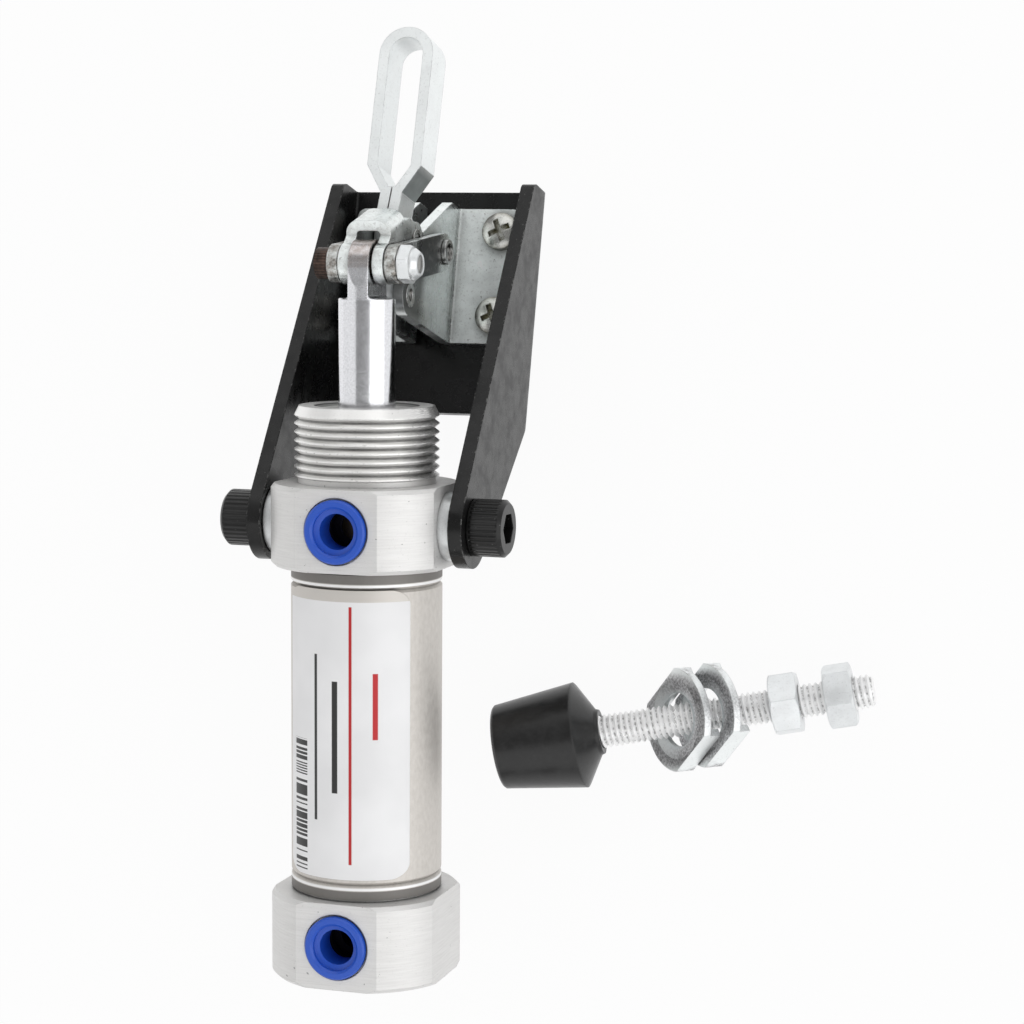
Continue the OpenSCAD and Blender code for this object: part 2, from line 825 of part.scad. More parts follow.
// Thin tube, rolled into a groove near both ends
module tube() {
    r = tube_d / 2;
    low = tube_low;
    high = tube_high;
    d = crimp_depth;
    color([0.72, 0.7, 0.67])
        on_barrel()
            rotate_extrude()
                polygon([[bore_r, low], [r, low], [r, low + crimp_in - d], [r - d, low + crimp_in],
                         [r, low + crimp_in + d], [r, high - crimp_in - d], [r - d, high - crimp_in],
                         [r, high - crimp_in + d], [r, high], [bore_r, high],
                         [bore_r, high - crimp_in + d], [bore_r - d, high - crimp_in],
                         [bore_r, high - crimp_in - d], [bore_r, low + crimp_in + d],
                         [bore_r - d, low + crimp_in], [bore_r, low + crimp_in - d]]);
}

// Square cover with round corners and a small chamfer at both ends
module cover_block(low, high) {
    edge = 0.7;
    r = cover_d / 2;
    intersection() {
        translate([-cover_half, -cover_half, low]) cube([cover_w, cover_w, high - low]);
        rotate_extrude()
            polygon([[0, low], [r - edge, low], [r, low + edge], [r, high - edge],
                     [r - edge, high], [0, high]]);
    }
}

// Spigot that holds the tube; side is 1 when it points up
module spigot(face, side) {
    g = crimp_depth + 0.1;
    mid = face + side * (0.4 + crimp_in);
    tip = face + side * spigot_len;
    rotate_extrude()
        polygon([[0, face - side * 0.5], [spigot_r, face - side * 0.5], [spigot_r, mid - side * g],
                 [spigot_r - g, mid], [spigot_r, mid + side * g], [spigot_r, tip - side * 0.4],
                 [spigot_r - 0.4, tip], [0, tip]]);
}

// Stepped hole for a push-in air tube in the cover's front flat
module port(z) {
    translate([0, -cover_half, z])
        rotate([-90, 0, 0]) {
            translate([0, 0, -cut]) cylinder(h = 1.3 + cut, r = ring_r + 0.3);
            cylinder(h = port_pocket_depth, r = port_pocket_r);
            cylinder(h = port_pocket_depth + 1.5, r = 2.2);
        }
}

module head_cover() {
    color([0.8, 0.8, 0.8])
        on_barrel()
            difference() {
                union() {
                    cover_block(head_bottom, head_top);
                    spigot(head_top, 1);
                }
                port(port_head_z);
                translate([0, 0, port_head_z - 2]) cylinder(h = 40, r = 5.6);
            }
}

// Nose thread drawn as a row of sharp rings under a long chamfer
module nose() {
    r = nose_d / 2;
    depth = 0.6 * nose_pitch;
    chamfer_r = 0.8;
    chamfer_len = 1.6;
    neck = rod_cover_top + 1;
    crest = nose_top - chamfer_len;
    turns = floor((crest - neck) / nose_pitch);
    difference() {
        rotate_extrude()
            polygon([[0, rod_cover_top - 1], [nose_neck_r, rod_cover_top - 1], [nose_neck_r, neck],
                     [r, neck + 0.2], [r, crest], [r - chamfer_r, nose_top], [0, nose_top]]);
        for (k = [1 : turns])
            rotate_extrude()
                polygon([[r + 0.01, crest - (k - 0.05) * nose_pitch],
                         [r - depth, crest - (k - 0.5) * nose_pitch],
                         [r + 0.01, crest - (k - 0.95) * nose_pitch]]);
    }
}

module rod_cover() {
    dish_r = 7.6;
    dish_depth = 0.8;
    dish_slope = 2.2;
    color([0.8, 0.8, 0.8])
        on_barrel()
            difference() {
                union() {
                    cover_block(rod_cover_low, rod_cover_top);
                    spigot(rod_cover_low, -1);
                    nose();
                }
                port(port_rod_z);
                translate([0, 0, rod_cover_low - spigot_len - cut])
                    cylinder(h = rod_seal_top - rod_seal_t - rod_cover_low + spigot_len + cut, r = bush_r);
                translate([0, 0, rod_seal_top - rod_seal_t])
                    cylinder(h = rod_seal_t, r = rod_seal_r);
                translate([0, 0, rod_seal_top - cut])
                    cylinder(h = far, r = rod_r + body_gap);
                translate([0, 0, nose_top - dish_depth])
                    cylinder(h = dish_depth + cut, r1 = dish_r,
                             r2 = dish_r + dish_slope * (dish_depth + cut));
                for (s = [-1, 1])
                    rotate([0, s * 90, 0])
                        translate([0, 0, 8]) cylinder(h = 10, d = trunnion_d);
            }
}

module rod_bush() {
    color([0.7, 0.5, 0.25])
        on_barrel()
            translate([0, 0, rod_cover_low - spigot_len])
                tube_ring(rod_r + run_fit, bush_r, rod_seal_top - rod_seal_t - rod_cover_low + spigot_len);
}

module rod_seal() {
    color([0.08, 0.08, 0.08])
        on_barrel()
            translate([0, 0, rod_seal_top - rod_seal_t])
                tube_ring(rod_r + run_fit, rod_seal_r, rod_seal_t);
}

// Rubber end stops on both covers
module bumpers() {
    color([0.1, 0.1, 0.1])
        on_barrel() {
            translate([0, 0, rod_cover_low - spigot_len - bumper_t])
                tube_ring(bush_r + 0.2, bore_r - 1.5, bumper_t);
            translate([0, 0, head_top + spigot_len])
                tube_ring(bush_r + 0.2, bore_r - 1.5, bumper_t);
        }
}

// Rubber rings that seal on the air tubes
module port_seals() {
    color([0.06, 0.06, 0.06])
        on_barrel()
            for (z = [port_head_z, port_rod_z])
                translate([0, -cover_half + port_pocket_depth - port_seal_t, z])
                    rotate([-90, 0, 0])
                        tube_ring(air_tube_d / 2 + body_gap, port_pocket_r, port_seal_t);
}

// Sleeve with a flange that a thumb pushes to let the air tube go
module release_ring(z) {
    hole_r = air_tube_d / 2;
    step_r = hole_r + 0.9;
    on_barrel()
        translate([0, -cover_half - ring_proud, z])
            rotate([-90, 0, 0])
                rotate_extrude()
                    polygon([[step_r + 0.4, 0], [ring_r - 0.3, 0], [ring_r, 0.3],
                             [ring_r, ring_flange_t], [ring_skirt_r, ring_flange_t],
                             [ring_skirt_r, ring_flange_t + ring_skirt_len],
                             [hole_r, ring_flange_t + ring_skirt_len], [hole_r, 1.4],
                             [step_r, 1.1], [step_r, 0.4]]);
}

module upper_release_ring() {
    color([0.08, 0.22, 0.75]) release_ring(port_rod_z);
}

module lower_release_ring() {
    color([0.08, 0.22, 0.75]) release_ring(port_head_z);
}

// Bare sticker wrapped round the front of the tube
module label() {
    label_t = 0.12;
    half_angle = 55;
    low = tube_low + crimp_in + 1;
    high = tube_high - crimp_in;
    corner = 2.6;
    half = tube_d / 2 * sin(half_angle);
    color([0.88, 0.88, 0.88])
        on_barrel()
            intersection() {
                translate([0, 0, low]) tube_ring(tube_d / 2, tube_d / 2 + label_t, high - low);
                translate([0, -tube_d / 6, 0])
                    rotate([90, 0, 0])
                        linear_extrude(far) {
                            translate([-half, low + corner])
                                square([2 * half, high - low - 2 * corner]);
                            translate([-half + corner, low])
                                square([2 * half - 2 * corner, high - low]);
                            for (x = [-half + corner, half - corner])
                                for (z = [low + corner, high - corner])
                                    translate([x, z]) circle(corner);
                        }
            }
}

// Rings between the cover's flats and the side plates
module spacer_rings() {
    color([0.78, 0.79, 0.8])
        on_both_sides()
            ring_x(trunnion, trunnion_d / 2, spacer_d / 2, cover_half, plate_in - side_gap);
}

// Socket-head screw that carries the cylinder on one side
module trunnion_screw() {
    seat = plate_out + side_gap;
    socket_flats = 5;
    socket_depth = 3;
    head_r = trunnion_head_d / 2;
    difference() {
        union() {
            pin(trunnion, trunnion_d / 2, 8.5, seat);
            translate([seat, trunnion_y, trunnion_z])
                rotate([0, 90, 0])
                    rotate_extrude()
                        polygon([[0, 0], [head_r, 0], [head_r, trunnion_head_h - 0.6],
                                 [head_r - 0.6, trunnion_head_h], [0, trunnion_head_h]]);
        }
        translate([seat + trunnion_head_h - socket_depth, trunnion_y, trunnion_z])
            rotate([0, 90, 0])
                rotate([0, 0, 12])
                    cylinder(h = socket_depth + cut, r = socket_flats / 2 / cos(30), $fn = 6);
    }
}

module trunnion_screw_right() {
    color([0.09, 0.09, 0.1]) trunnion_screw();
}

module trunnion_screw_left() {
    color([0.09, 0.09, 0.1]) mirror([1, 0, 0]) trunnion_screw();
}

// Spindle frame: Z along the spindle from the tip's small end; the tip's large rim is on the table
module on_spindle() {
    rim_drop = tip_d / 2 * cos(spindle_slope) + tip_len * sin(spindle_slope);
    translate([spindle_x, spindle_y, table_z + rim_drop])
        rotate([0, 0, spindle_turn])
            rotate([0, 90 + spindle_slope, 0])
                children();
}

// Threaded rod of the spindle
module spindle() {
    r = spindle_d / 2;
    low = tip_len - 6;
    high = tip_end + spindle_len;
    color([0.8, 0.81, 0.81])
        on_spindle()
            rotate_extrude()
                polygon([[0, low], [r, low], [r, high - 0.8], [r - 0.8, high], [0, high]]);
}

// Rubber tip: tapered skirt, conical shoulder and a short collar
module rubber_tip() {
    big_r = tip_d / 2;
    small_r = tip_small_d / 2;
    shoulder = tip_len + tip_shoulder_len;
    color([0.07, 0.07, 0.07])
        on_spindle()
            difference() {
                rotate_extrude()
                    polygon([[0, 0], [small_r - 0.3, 0], [small_r, 0.3], [big_r, tip_len - 0.3],
                             [big_r - 0.4, tip_len], [tip_collar_r + 0.2, shoulder],
                             [tip_collar_r, tip_end], [0, tip_end]]);
                translate([0, 0, tip_len - 6]) cylinder(h = far, d = spindle_d);
            }
}

// Stamped washer with a countersunk hole and two bent lips that hold it square on the arm
module flanged_washer() {
    lip_len = 11;
    half = flanged_w / 2;
    sink_r = 7;
    sink_depth = 0.6;
    hole_r = flanged_hole_d / 2;
    difference() {
        union() {
            intersection() {
                cylinder(h = flanged_t, d = flanged_d);
                translate([-half, -flanged_d / 2, 0]) cube([2 * half, flanged_d, flanged_t]);
            }
            for (s = [-1, 1])
                translate([s * (half - flanged_t / 2) - flanged_t / 2, -lip_len / 2, 0])
                    cube([flanged_t, lip_len, flanged_h]);
        }
        translate([0, 0, -cut]) cylinder(h = flanged_t + 2 * cut, r = hole_r);
        translate([0, 0, -0.01]) cylinder(h = sink_depth, r1 = sink_r, r2 = hole_r);
    }
}

// Places a flanged washer that hangs leaning on the spindle
module leaning_washer(at) {
    lift = 0.2;
    roll = 65;
    on_spindle()
        translate([-lift, 0, at])
            rotate([0, flanged_lean, 0])
                rotate([0, 0, roll])
                    translate([0, 0, -1])
                        flanged_washer();
}

module flanged_washer_inner() {
    color([0.76, 0.78, 0.78]) leaning_washer(washer_places[0]);
}

module flanged_washer_outer() {
    color([0.76, 0.78, 0.78]) leaning_washer(washer_places[1]);
}

// Plain hexagon nut with chamfered corners
module plain_nut() {
    chamfer = 0.5;
    corner_r = nut_flats / 2 / cos(30);
    flat_r = nut_flats / 2;
    difference() {
        intersection() {
            cylinder(h = nut_h, r = corner_r, $fn = 6);
            union() {
                cylinder(h = chamfer, r1 = flat_r, r2 = flat_r + 2 * chamfer);
                translate([0, 0, chamfer]) cylinder(h = nut_h - 2 * chamfer, r = corner_r + 1);
                translate([0, 0, nut_h - chamfer])
                    cylinder(h = chamfer, r1 = flat_r + 2 * chamfer, r2 = flat_r);
            }
        }
        translate([0, 0, -cut]) cylinder(h = nut_h + 2 * cut, d = spindle_d);
    }
}

// Two nuts on the spindle
module spindle_nuts() {
    color([0.8, 0.83, 0.84])
        on_spindle()
            for (k = [0, 1])
                translate([0, 0, nut_places[k]])
                    rotate([0, 0, nut_turns[k]])
                        plain_nut();
}

bracket();
frame_left();
frame_right();
base_screws();
link_rivet();
arm_rivet();
arm();
yoke();
yoke_rivet();
link_left();
link_right();
link_washers();
knuckle_bolt();
lock_nut();
nut_insert();
rod();
piston();
piston_seal();
wear_ring();
tube();
head_cover();
rod_cover();
rod_bush();
rod_seal();
bumpers();
port_seals();
label();
spacer_rings();
trunnion_screw_left();
trunnion_screw_right();
upper_release_ring();
lower_release_ring();
spindle();
rubber_tip();
flanged_washer_inner();
flanged_washer_outer();
spindle_nuts();
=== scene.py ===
import math
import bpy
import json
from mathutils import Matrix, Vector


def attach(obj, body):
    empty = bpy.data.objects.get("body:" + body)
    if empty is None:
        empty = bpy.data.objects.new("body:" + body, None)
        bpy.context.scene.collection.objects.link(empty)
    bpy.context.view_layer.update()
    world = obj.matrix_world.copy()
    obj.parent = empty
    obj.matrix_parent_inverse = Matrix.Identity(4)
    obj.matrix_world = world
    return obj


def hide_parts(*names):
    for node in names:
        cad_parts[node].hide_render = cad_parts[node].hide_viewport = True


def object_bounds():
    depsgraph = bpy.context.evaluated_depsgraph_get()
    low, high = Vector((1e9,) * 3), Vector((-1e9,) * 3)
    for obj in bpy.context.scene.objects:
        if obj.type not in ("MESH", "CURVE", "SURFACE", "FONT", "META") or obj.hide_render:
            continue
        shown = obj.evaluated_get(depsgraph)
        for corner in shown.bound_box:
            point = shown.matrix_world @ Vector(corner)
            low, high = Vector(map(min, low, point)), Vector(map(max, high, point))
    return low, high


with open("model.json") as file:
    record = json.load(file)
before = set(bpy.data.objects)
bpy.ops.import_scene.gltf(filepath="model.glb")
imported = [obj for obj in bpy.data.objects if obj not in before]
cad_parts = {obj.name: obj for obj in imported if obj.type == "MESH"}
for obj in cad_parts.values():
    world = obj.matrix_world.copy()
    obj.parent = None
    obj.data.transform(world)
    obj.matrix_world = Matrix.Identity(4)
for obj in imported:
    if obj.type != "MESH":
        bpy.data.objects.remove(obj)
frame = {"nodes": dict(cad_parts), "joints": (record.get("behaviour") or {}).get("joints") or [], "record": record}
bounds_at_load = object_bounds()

from types import SimpleNamespace

import bpy
from mathutils import Matrix, Vector

MM = 0.001
nodes = frame["nodes"]

# Camera: solved from the photo's own edges, in the row frame
CAM_RIGHT = Vector((0.95334, 0.08306, -0.29032))
CAM_UP = Vector((-0.04019, 0.98778, 0.15066))
CAM_BACK = Vector((0.29928, -0.13196, 0.94499))
CAM_POS = Vector((160.18, -106.16, 449.78)) * MM
cam_data = bpy.data.cameras.new("photo_camera")
cam_data.lens = 91.42
cam_data.sensor_width = 36.0
cam_data.clip_start = 0.02
cam_data.clip_end = 20.0
camera = bpy.data.objects.new("photo_camera", cam_data)
bpy.context.scene.collection.objects.link(camera)
camera.matrix_world = Matrix((
    (CAM_RIGHT.x, CAM_UP.x, CAM_BACK.x, CAM_POS.x),
    (CAM_RIGHT.y, CAM_UP.y, CAM_BACK.y, CAM_POS.y),
    (CAM_RIGHT.z, CAM_UP.z, CAM_BACK.z, CAM_POS.z),
    (0, 0, 0, 1)))
bpy.context.scene.camera = camera
bpy.context.scene.view_settings.view_transform = "Standard"
bpy.context.scene.view_settings.look = "None"

# The row frame's axes
AXIS_X = (1, 0, 0)
AXIS_Y = (0, 1, 0)
AXIS_Z = (0, 0, 1)
# What the frame gives: the table under the lowest point, the cylinder's and the knuckle's pivots, the
# directions along the cylinder and out of its ports, and half the distances between the base screws
joints = {joint["name"]: joint for joint in frame["joints"]}
mounts = {mount["name"]: mount for mount in frame["record"]["mounts"]}
TABLE_Z = bounds_at_load[0][2]
TRUNNION = Vector(joints["cylinder_swing"]["pos_m"])
KNUCKLE = Vector(joints["yoke_swing"]["pos_m"])
ALONG = -Vector(joints["rod_retract"]["axis"])
OUTWARD = -Vector(joints["upper_ring_push"]["axis"])
SCREW_X = mounts["base_studs"]["dims"]["spacing_x_mm"] / 2 * MM
SCREW_Y = mounts["base_studs"]["dims"]["spacing_y_mm"] / 2 * MM
# Where the darker ring round a base screw's head starts
SCREW_DARK_RING_RADIUS = 3.1 * MM

# Places on the linkage that its marks follow: X across the clamp, Y towards the arm, Z above the bracket
YOKE_SIDE_X = 4.25 * MM
LINK_INNER_X = 4.4 * MM
LINK_OUTER_X = 6.2 * MM
# Where the painted reflection on the right link's outer side lies, where the painted shade between the links lies,
# and where the painted reflections high in the linkage start
LINK_REFLECTION_Z = (19.0 * MM, 31.2 * MM)
SHADE_Y = (-13.0 * MM, 1.5 * MM)
SHADE_Z = (20.5 * MM, 33.0 * MM)
MIRROR_Z = 33.5 * MM
KNUCKLE_WEAR_Z = 35.0 * MM
ARM_BEND_NORMAL = (0.797, -0.603, 0.0)
ARM_BEND_END_Y = 12.5 * MM
# Places on the knuckle bolt and on the trunnion screws' heads, and how many ridges their knurls have
BOLT_HEAD_X = -6.3 * MM
BOLT_THREAD_X = 4.25 * MM
BOLT_RIDGES = 30.0
SCREW_HEAD_X = (20.5 * MM, 25.2 * MM)
SCREW_HEAD_RIM = 4.7 * MM
SCREW_RIDGES = 36.0
# Places on the rod's tongue, from the knuckle towards the arm
TONGUE_START = -6.0 * MM
TONGUE_BROWN_START = -0.6 * MM

# The loose spindle starts at its rubber tip's small face. It is turned on the table, and slopes down from the
# tip's large rim to its nuts.
SPIN_TURN = math.radians(12.6)
SPIN_SLOPE = math.radians(4.7)
SPIN_AXIS = Vector((math.cos(SPIN_TURN) * math.cos(SPIN_SLOPE), math.sin(SPIN_TURN) * math.cos(SPIN_SLOPE),
                    -math.sin(SPIN_SLOPE)))
TIP_RIM_RADIUS = 9.45 * MM
TIP_RIM_REACH = 15.1 * MM
SPIN_RISE = TIP_RIM_RADIUS * math.cos(SPIN_SLOPE) + TIP_RIM_REACH * math.sin(SPIN_SLOPE)
SPIN_START = Vector((20.2 * MM, -86.4 * MM, TABLE_Z + SPIN_RISE))
# The flanged washers lie past this X, and the arm does not reach it
WASHERS_X = 30.5 * MM
# Distances from the spindle's axis in mm: the washers' holes and rings of painted shade, the thread's groove and
# crest
WASHER_HOLE = 5.0
WASHER_RING_END = 8.0
WASHER_LIP = 8.5
GROOVE_FLOOR = (2.35, 2.58)
SPINDLE_SURFACE = 3.04
# The spindle's lower end, inside the rubber tip, in mm along its axis
SPINDLE_LOW = 9.1

# The spindle's real thread: radius over the crests, pitch, depth, first turn's place on the spindle, length
THREAD_RADIUS = 2.97 * MM
THREAD_PITCH = 1.0 * MM
THREAD_DEPTH = 0.52 * MM
THREAD_START = 9.13 * MM
THREAD_LENGTH = 58.35 * MM
THREAD_CHAMFER = 0.75 * MM
# Shares of the pitch: the flat crest, and both flanks together
CREST_SHARE = 0.12
FLANK_SHARE = 0.76

# Places on the cylinder in mm, from the trunnions towards the rod
NOSE_START = 8.35
NOSE_THREAD_TOP = 18.75
NOSE_FACE = 20.05
PORT_MIDDLES = (-0.5, -72.6)
PORT_HALF = 4.6
TUBE_TOP = -7.6
TUBE_LOW = -64.2
# The tube's rolled ends: how far the painted shade goes over and into the tube, and where the painted highlight on
# the lip lies
ROLL_OVER = 1.0
ROLL_INTO = 1.6
ROLL_LIP_HIGHLIGHT = (1.7, 2.15)
LABEL_TOP = -12.2
# Radii on the cylinder in mm
NOSE_CORE = 11.6
NOSE_GROOVE = 11.95
NOSE_CREST = 12.465
NOSE_DISH = 8.9
PORT_FLOOR = 12.25

# Fields on the label: degrees from the ports towards +X, mm along the cylinder, and for plain ones the colour
LABEL_RED_LINE = (7.2, 9.5, -57.9, -13.0)
LABEL_BARS = (-45.5, -29.5, -60.0, -36.7)
LABEL_FIELDS = ((-21.5, -19.0, -50.5, -21.5, (0.02, 0.02, 0.02, 1)),
                (-6.0, -1.5, -45.5, -26.0, (0.015, 0.015, 0.015, 1)),
                (25.0, 29.0, -36.0, -24.5, (0.52, 0.01, 0.015, 1)))

# Light: how white the table is to the camera and in mirrors, and the walls of the studio
FLOOR_WHITE = 0.94
FLOOR_GREY = (0.80, 0.80, 0.80, 1)
TABLE_HALF = 1.5
WORLD_LEFT = 0.34
WORLD_TOP = 0.28
WORLD_RIGHT = 0.70
# Angles from overhead towards +X, in degrees, where a wall's grey starts or ends
WALL_STOPS = ((-44, WORLD_LEFT), (-16, WORLD_TOP), (34, WORLD_TOP), (60, WORLD_RIGHT))
WHITE = (1, 1, 1, 1)


# Node helpers
def new_material(name):
    m = bpy.data.materials.new(name)
    m.use_nodes = True
    t = m.node_tree
    t.nodes.clear()
    out = t.nodes.new("ShaderNodeOutputMaterial")
    b = t.nodes.new("ShaderNodeBsdfPrincipled")
    t.links.new(b.outputs[0], out.inputs[0])
    return m, t, b


def put(t, value, socket):
    if isinstance(value, bpy.types.NodeSocket):
        t.links.new(value, socket)
    elif value is not None:
        socket.default_value = value


def math_node(t, op, a, b=None, c=None):
    n = t.nodes.new("ShaderNodeMath")
    n.operation = op
    put(t, a, n.inputs[0])
    put(t, b, n.inputs[1])
    put(t, c, n.inputs[2])
    return n.outputs[0]


def times(t, first, *others):
    product = first
    for other in others:
        product = math_node(t, "MULTIPLY", product, other)
    return product


def times_plus(t, value, factor, plus):
    return math_node(t, "MULTIPLY_ADD", value, factor, plus)


def absolute(t, value):
    return math_node(t, "ABSOLUTE", value)


def either(t, a, b):
    return math_node(t, "MAXIMUM", a, b)


def diagonal(t, a, b):
    squares = math_node(t, "ADD", math_node(t, "POWER", a, 2.0), math_node(t, "POWER", b, 2.0))
    return math_node(t, "SQRT", squares)


def vec_node(t, op, a, b):
    n = t.nodes.new("ShaderNodeVectorMath")
    n.operation = op
    put(t, a, n.inputs[0])
    put(t, b, n.inputs[1])
    return n


def dot(t, a, b):
    return vec_node(t, "DOT_PRODUCT", a, b).outputs["Value"]


def offset(t, p, start):
    return vec_node(t, "SUBTRACT", p, start).outputs[0]


def combine(t, x, y, z=0.0):
    n = t.nodes.new("ShaderNodeCombineXYZ")
    put(t, x, n.inputs[0])
    put(t, y, n.inputs[1])
    put(t, z, n.inputs[2])
    return n.outputs[0]


def coords(t):
    return t.nodes.new("ShaderNodeTexCoord").outputs["Object"]


def facing(t, direction):
    """1 where the surface faces a direction, 0 where it is square to it."""
    return dot(t, t.nodes.new("ShaderNodeNewGeometry").outputs["Normal"], direction)


def noise(t, vector, scale, detail, rough):
    n = t.nodes.new("ShaderNodeTexNoise")
    put(t, vector, n.inputs["Vector"])
    n.inputs["Scale"].default_value = scale
    n.inputs["Detail"].default_value = detail
    n.inputs["Roughness"].default_value = rough
    return n.outputs[0]


def span(t, value, low, high, out_low=0.0, out_high=1.0):
    n = t.nodes.new("ShaderNodeMapRange")
    n.clamp = True
    put(t, value, n.inputs[0])
    n.inputs[1].default_value = low
    n.inputs[2].default_value = high
    n.inputs[3].default_value = out_low
    n.inputs[4].default_value = out_high
    return n.outputs[0]


def past(t, value, place, soft):
    """1 past a place and 0 before it, with a soft edge on both sides of the place."""
    return span(t, value, place - soft, place + soft)


def short_of(t, value, place, soft):
    return span(t, value, place - soft, place + soft, 1.0, 0.0)


def within(t, value, low, high, soft):
    return times(t, past(t, value, low, soft), short_of(t, value, high, soft))


def mix(t, factor, a, b):
    n = t.nodes.new("ShaderNodeMix")
    n.data_type = "RGBA"
    put(t, factor, n.inputs[0])
    put(t, a, n.inputs[6])
    put(t, b, n.inputs[7])
    return n.outputs[2]


def grey(value, tint=(1, 1, 1)):
    return (value * tint[0], value * tint[1], value * tint[2], 1)


def bevel_normal(t, radius):
    n = t.nodes.new("ShaderNodeBevel")
    n.samples = 4
    n.inputs["Radius"].default_value = radius
    return n.outputs[0]


def edge_mask(t, radius, low=0.03, high=0.2):
    """1 along the edges, from how far the rounded normal turns away from the face's own."""
    true_normal = t.nodes.new("ShaderNodeNewGeometry").outputs["True Normal"]
    turned = dot(t, bevel_normal(t, radius), true_normal)
    return span(t, math_node(t, "SUBTRACT", 1.0, turned), low, high)


def relief(t, b, height, distance, strength, edge=None):
    """Bump on a surface whose edges are rounded in the shading by a radius, if one is given."""
    n = t.nodes.new("ShaderNodeBump")
    n.inputs["Strength"].default_value = strength
    n.inputs["Distance"].default_value = distance
    put(t, height, n.inputs["Height"])
    if edge:
        put(t, bevel_normal(t, edge), n.inputs["Normal"])
    put(t, n.outputs[0], b.inputs["Normal"])


def patches(t, p, scale, low, high, out_low=0.0, out_high=1.0, detail=3.0, rough=0.6):
    """Irregular patches: noise that is cut off between two of its own levels."""
    return span(t, noise(t, p, scale, detail, rough), low, high, out_low, out_high)


def specks(t, p, scale, low, high):
    return patches(t, p, scale, low, high, detail=2.0)


def corner_shade(t, reach, low=0.35, high=0.85):
    """1 in tight corners, 0 on open faces: where painted shade darkens the corners."""
    n = t.nodes.new("ShaderNodeAmbientOcclusion")
    n.samples = 6
    n.inputs["Distance"].default_value = reach
    return span(t, n.outputs["AO"], low, high, 1.0, 0.0)


def barrel_coords(t):
    """Places on the cylinder in mm, and the angle round it from the ports towards +X in radians."""
    rel = offset(t, coords(t), TRUNNION)
    along = times(t, dot(t, rel, ALONG), 1000.0)
    out = times(t, dot(t, rel, OUTWARD), 1000.0)
    side = times(t, dot(t, rel, AXIS_X), 1000.0)
    angle = math_node(t, "ARCTAN2", side, out)
    return SimpleNamespace(along=along, out=out, side=side, angle=angle)


def along_spindle(t, p):
    """Distance along the loose spindle from its tip, in metres."""
    return dot(t, offset(t, p, SPIN_START), SPIN_AXIS)


def from_spindle_axis(t, p):
    """Distance from the loose spindle's axis, in mm."""
    rel = offset(t, p, SPIN_START)
    square = math_node(t, "SUBTRACT", dot(t, rel, rel), math_node(t, "POWER", along_spindle(t, p), 2.0))
    return times(t, math_node(t, "SQRT", either(t, square, 0.0)), 1000.0)


# Zinc-plated and bright steel pieces
def zinc(name, value, tint, mottle, rough, metal=0.85, dark=0.5, flat=0.0, reach=1.8 * MM, pits=1.0,
         marks=None, dull=None):
    """Zinc plate: bright, slightly blotched, with fine dark pits and painted shade in its corners.

    flat dulls faces that look up. marks adds what one material has besides. dull says where it is less
    metallic.
    """
    m, t, b = new_material(name)
    p = coords(t)
    big = noise(t, p, scale=240.0, detail=3.0, rough=0.55)
    fine = noise(t, p, scale=2600.0, detail=2.0, rough=0.6)
    darker = grey(value * (1 - mottle), tint)
    brighter = grey(value * (1 + 0.6 * mottle), tint)
    base = mix(t, span(t, big, 0.35, 0.68), darker, brighter)
    pit = either(t, specks(t, p, 1500.0, 0.69, 0.74), times(t, span(t, fine, 0.57, 0.70), 0.5))
    base = mix(t, times(t, pit, 0.7 * pits), base, grey(value * 0.3, (1.0, 0.99, 0.96)))
    # Painted shade: the corners darken towards dark grey, as much as dark says
    if dark:
        base = mix(t, times(t, corner_shade(t, reach), dark), base, (0.10, 0.09, 0.08, 1))
    if marks:
        base = marks(SimpleNamespace(t=t, p=p, big=big, fine=fine), base)
    put(t, base, b.inputs["Base Color"])
    level = span(t, big, 0.3, 0.7, rough[0], rough[1])
    if flat:
        up = span(t, facing(t, AXIS_Z), 0.8, 0.97)
        metallic = times_plus(t, up, -flat, metal)
        if dull:
            metallic = times_plus(t, dull(t, p), -0.30, metallic)
        put(t, metallic, b.inputs["Metallic"])
        level = times_plus(t, up, 0.16, level)
    else:
        b.inputs["Metallic"].default_value = metal
    put(t, level, b.inputs["Roughness"])
    relief(t, b, fine, distance=0.01 * MM, strength=0.8, edge=0.3 * MM)
    return m


def mirror_blotches(t, p, base, strength):
    """Painted reflections: brownish blotches on what lies high in the linkage, where neighbours are mirrored in
    it.
    """
    high = past(t, dot(t, p, AXIS_Z), MIRROR_Z, 1.0 * MM)
    blotch = patches(t, p, 480.0, 0.47, 0.64, 0.0, strength, rough=0.65)
    return mix(t, times(t, high, blotch), base, (0.20, 0.185, 0.16, 1))


def painted_reflection_on_outer_side(t, p, base):
    """Painted reflection of the black bracket plate: the dark area on the right link's outer side."""
    outer = past(t, dot(t, p, AXIS_X), LINK_OUTER_X, 0.05 * MM)
    middle = within(t, dot(t, p, AXIS_Z), *LINK_REFLECTION_Z, 1.2 * MM)
    patch = times(t, outer, middle, patches(t, p, 700.0, 0.25, 0.5, 0.75, 0.95))
    return mix(t, patch, base, (0.085, 0.088, 0.09, 1))


def worn_link_ends(t, p, fine, base):
    """Bare, brownish steel round the knuckle bolt."""
    high = past(t, dot(t, p, AXIS_Z), KNUCKLE_WEAR_Z, 0.5 * MM)
    links = past(t, absolute(t, dot(t, p, AXIS_X)), LINK_INNER_X, 0.1 * MM)
    worn = times(t, high, links, patches(t, p, 620.0, 0.36, 0.60, 0.25, 0.95, detail=4.0, rough=0.7))
    steel = mix(t, span(t, fine, 0.4, 0.6), (0.13, 0.115, 0.10, 1), (0.34, 0.31, 0.28, 1))
    return mix(t, worn, base, steel)


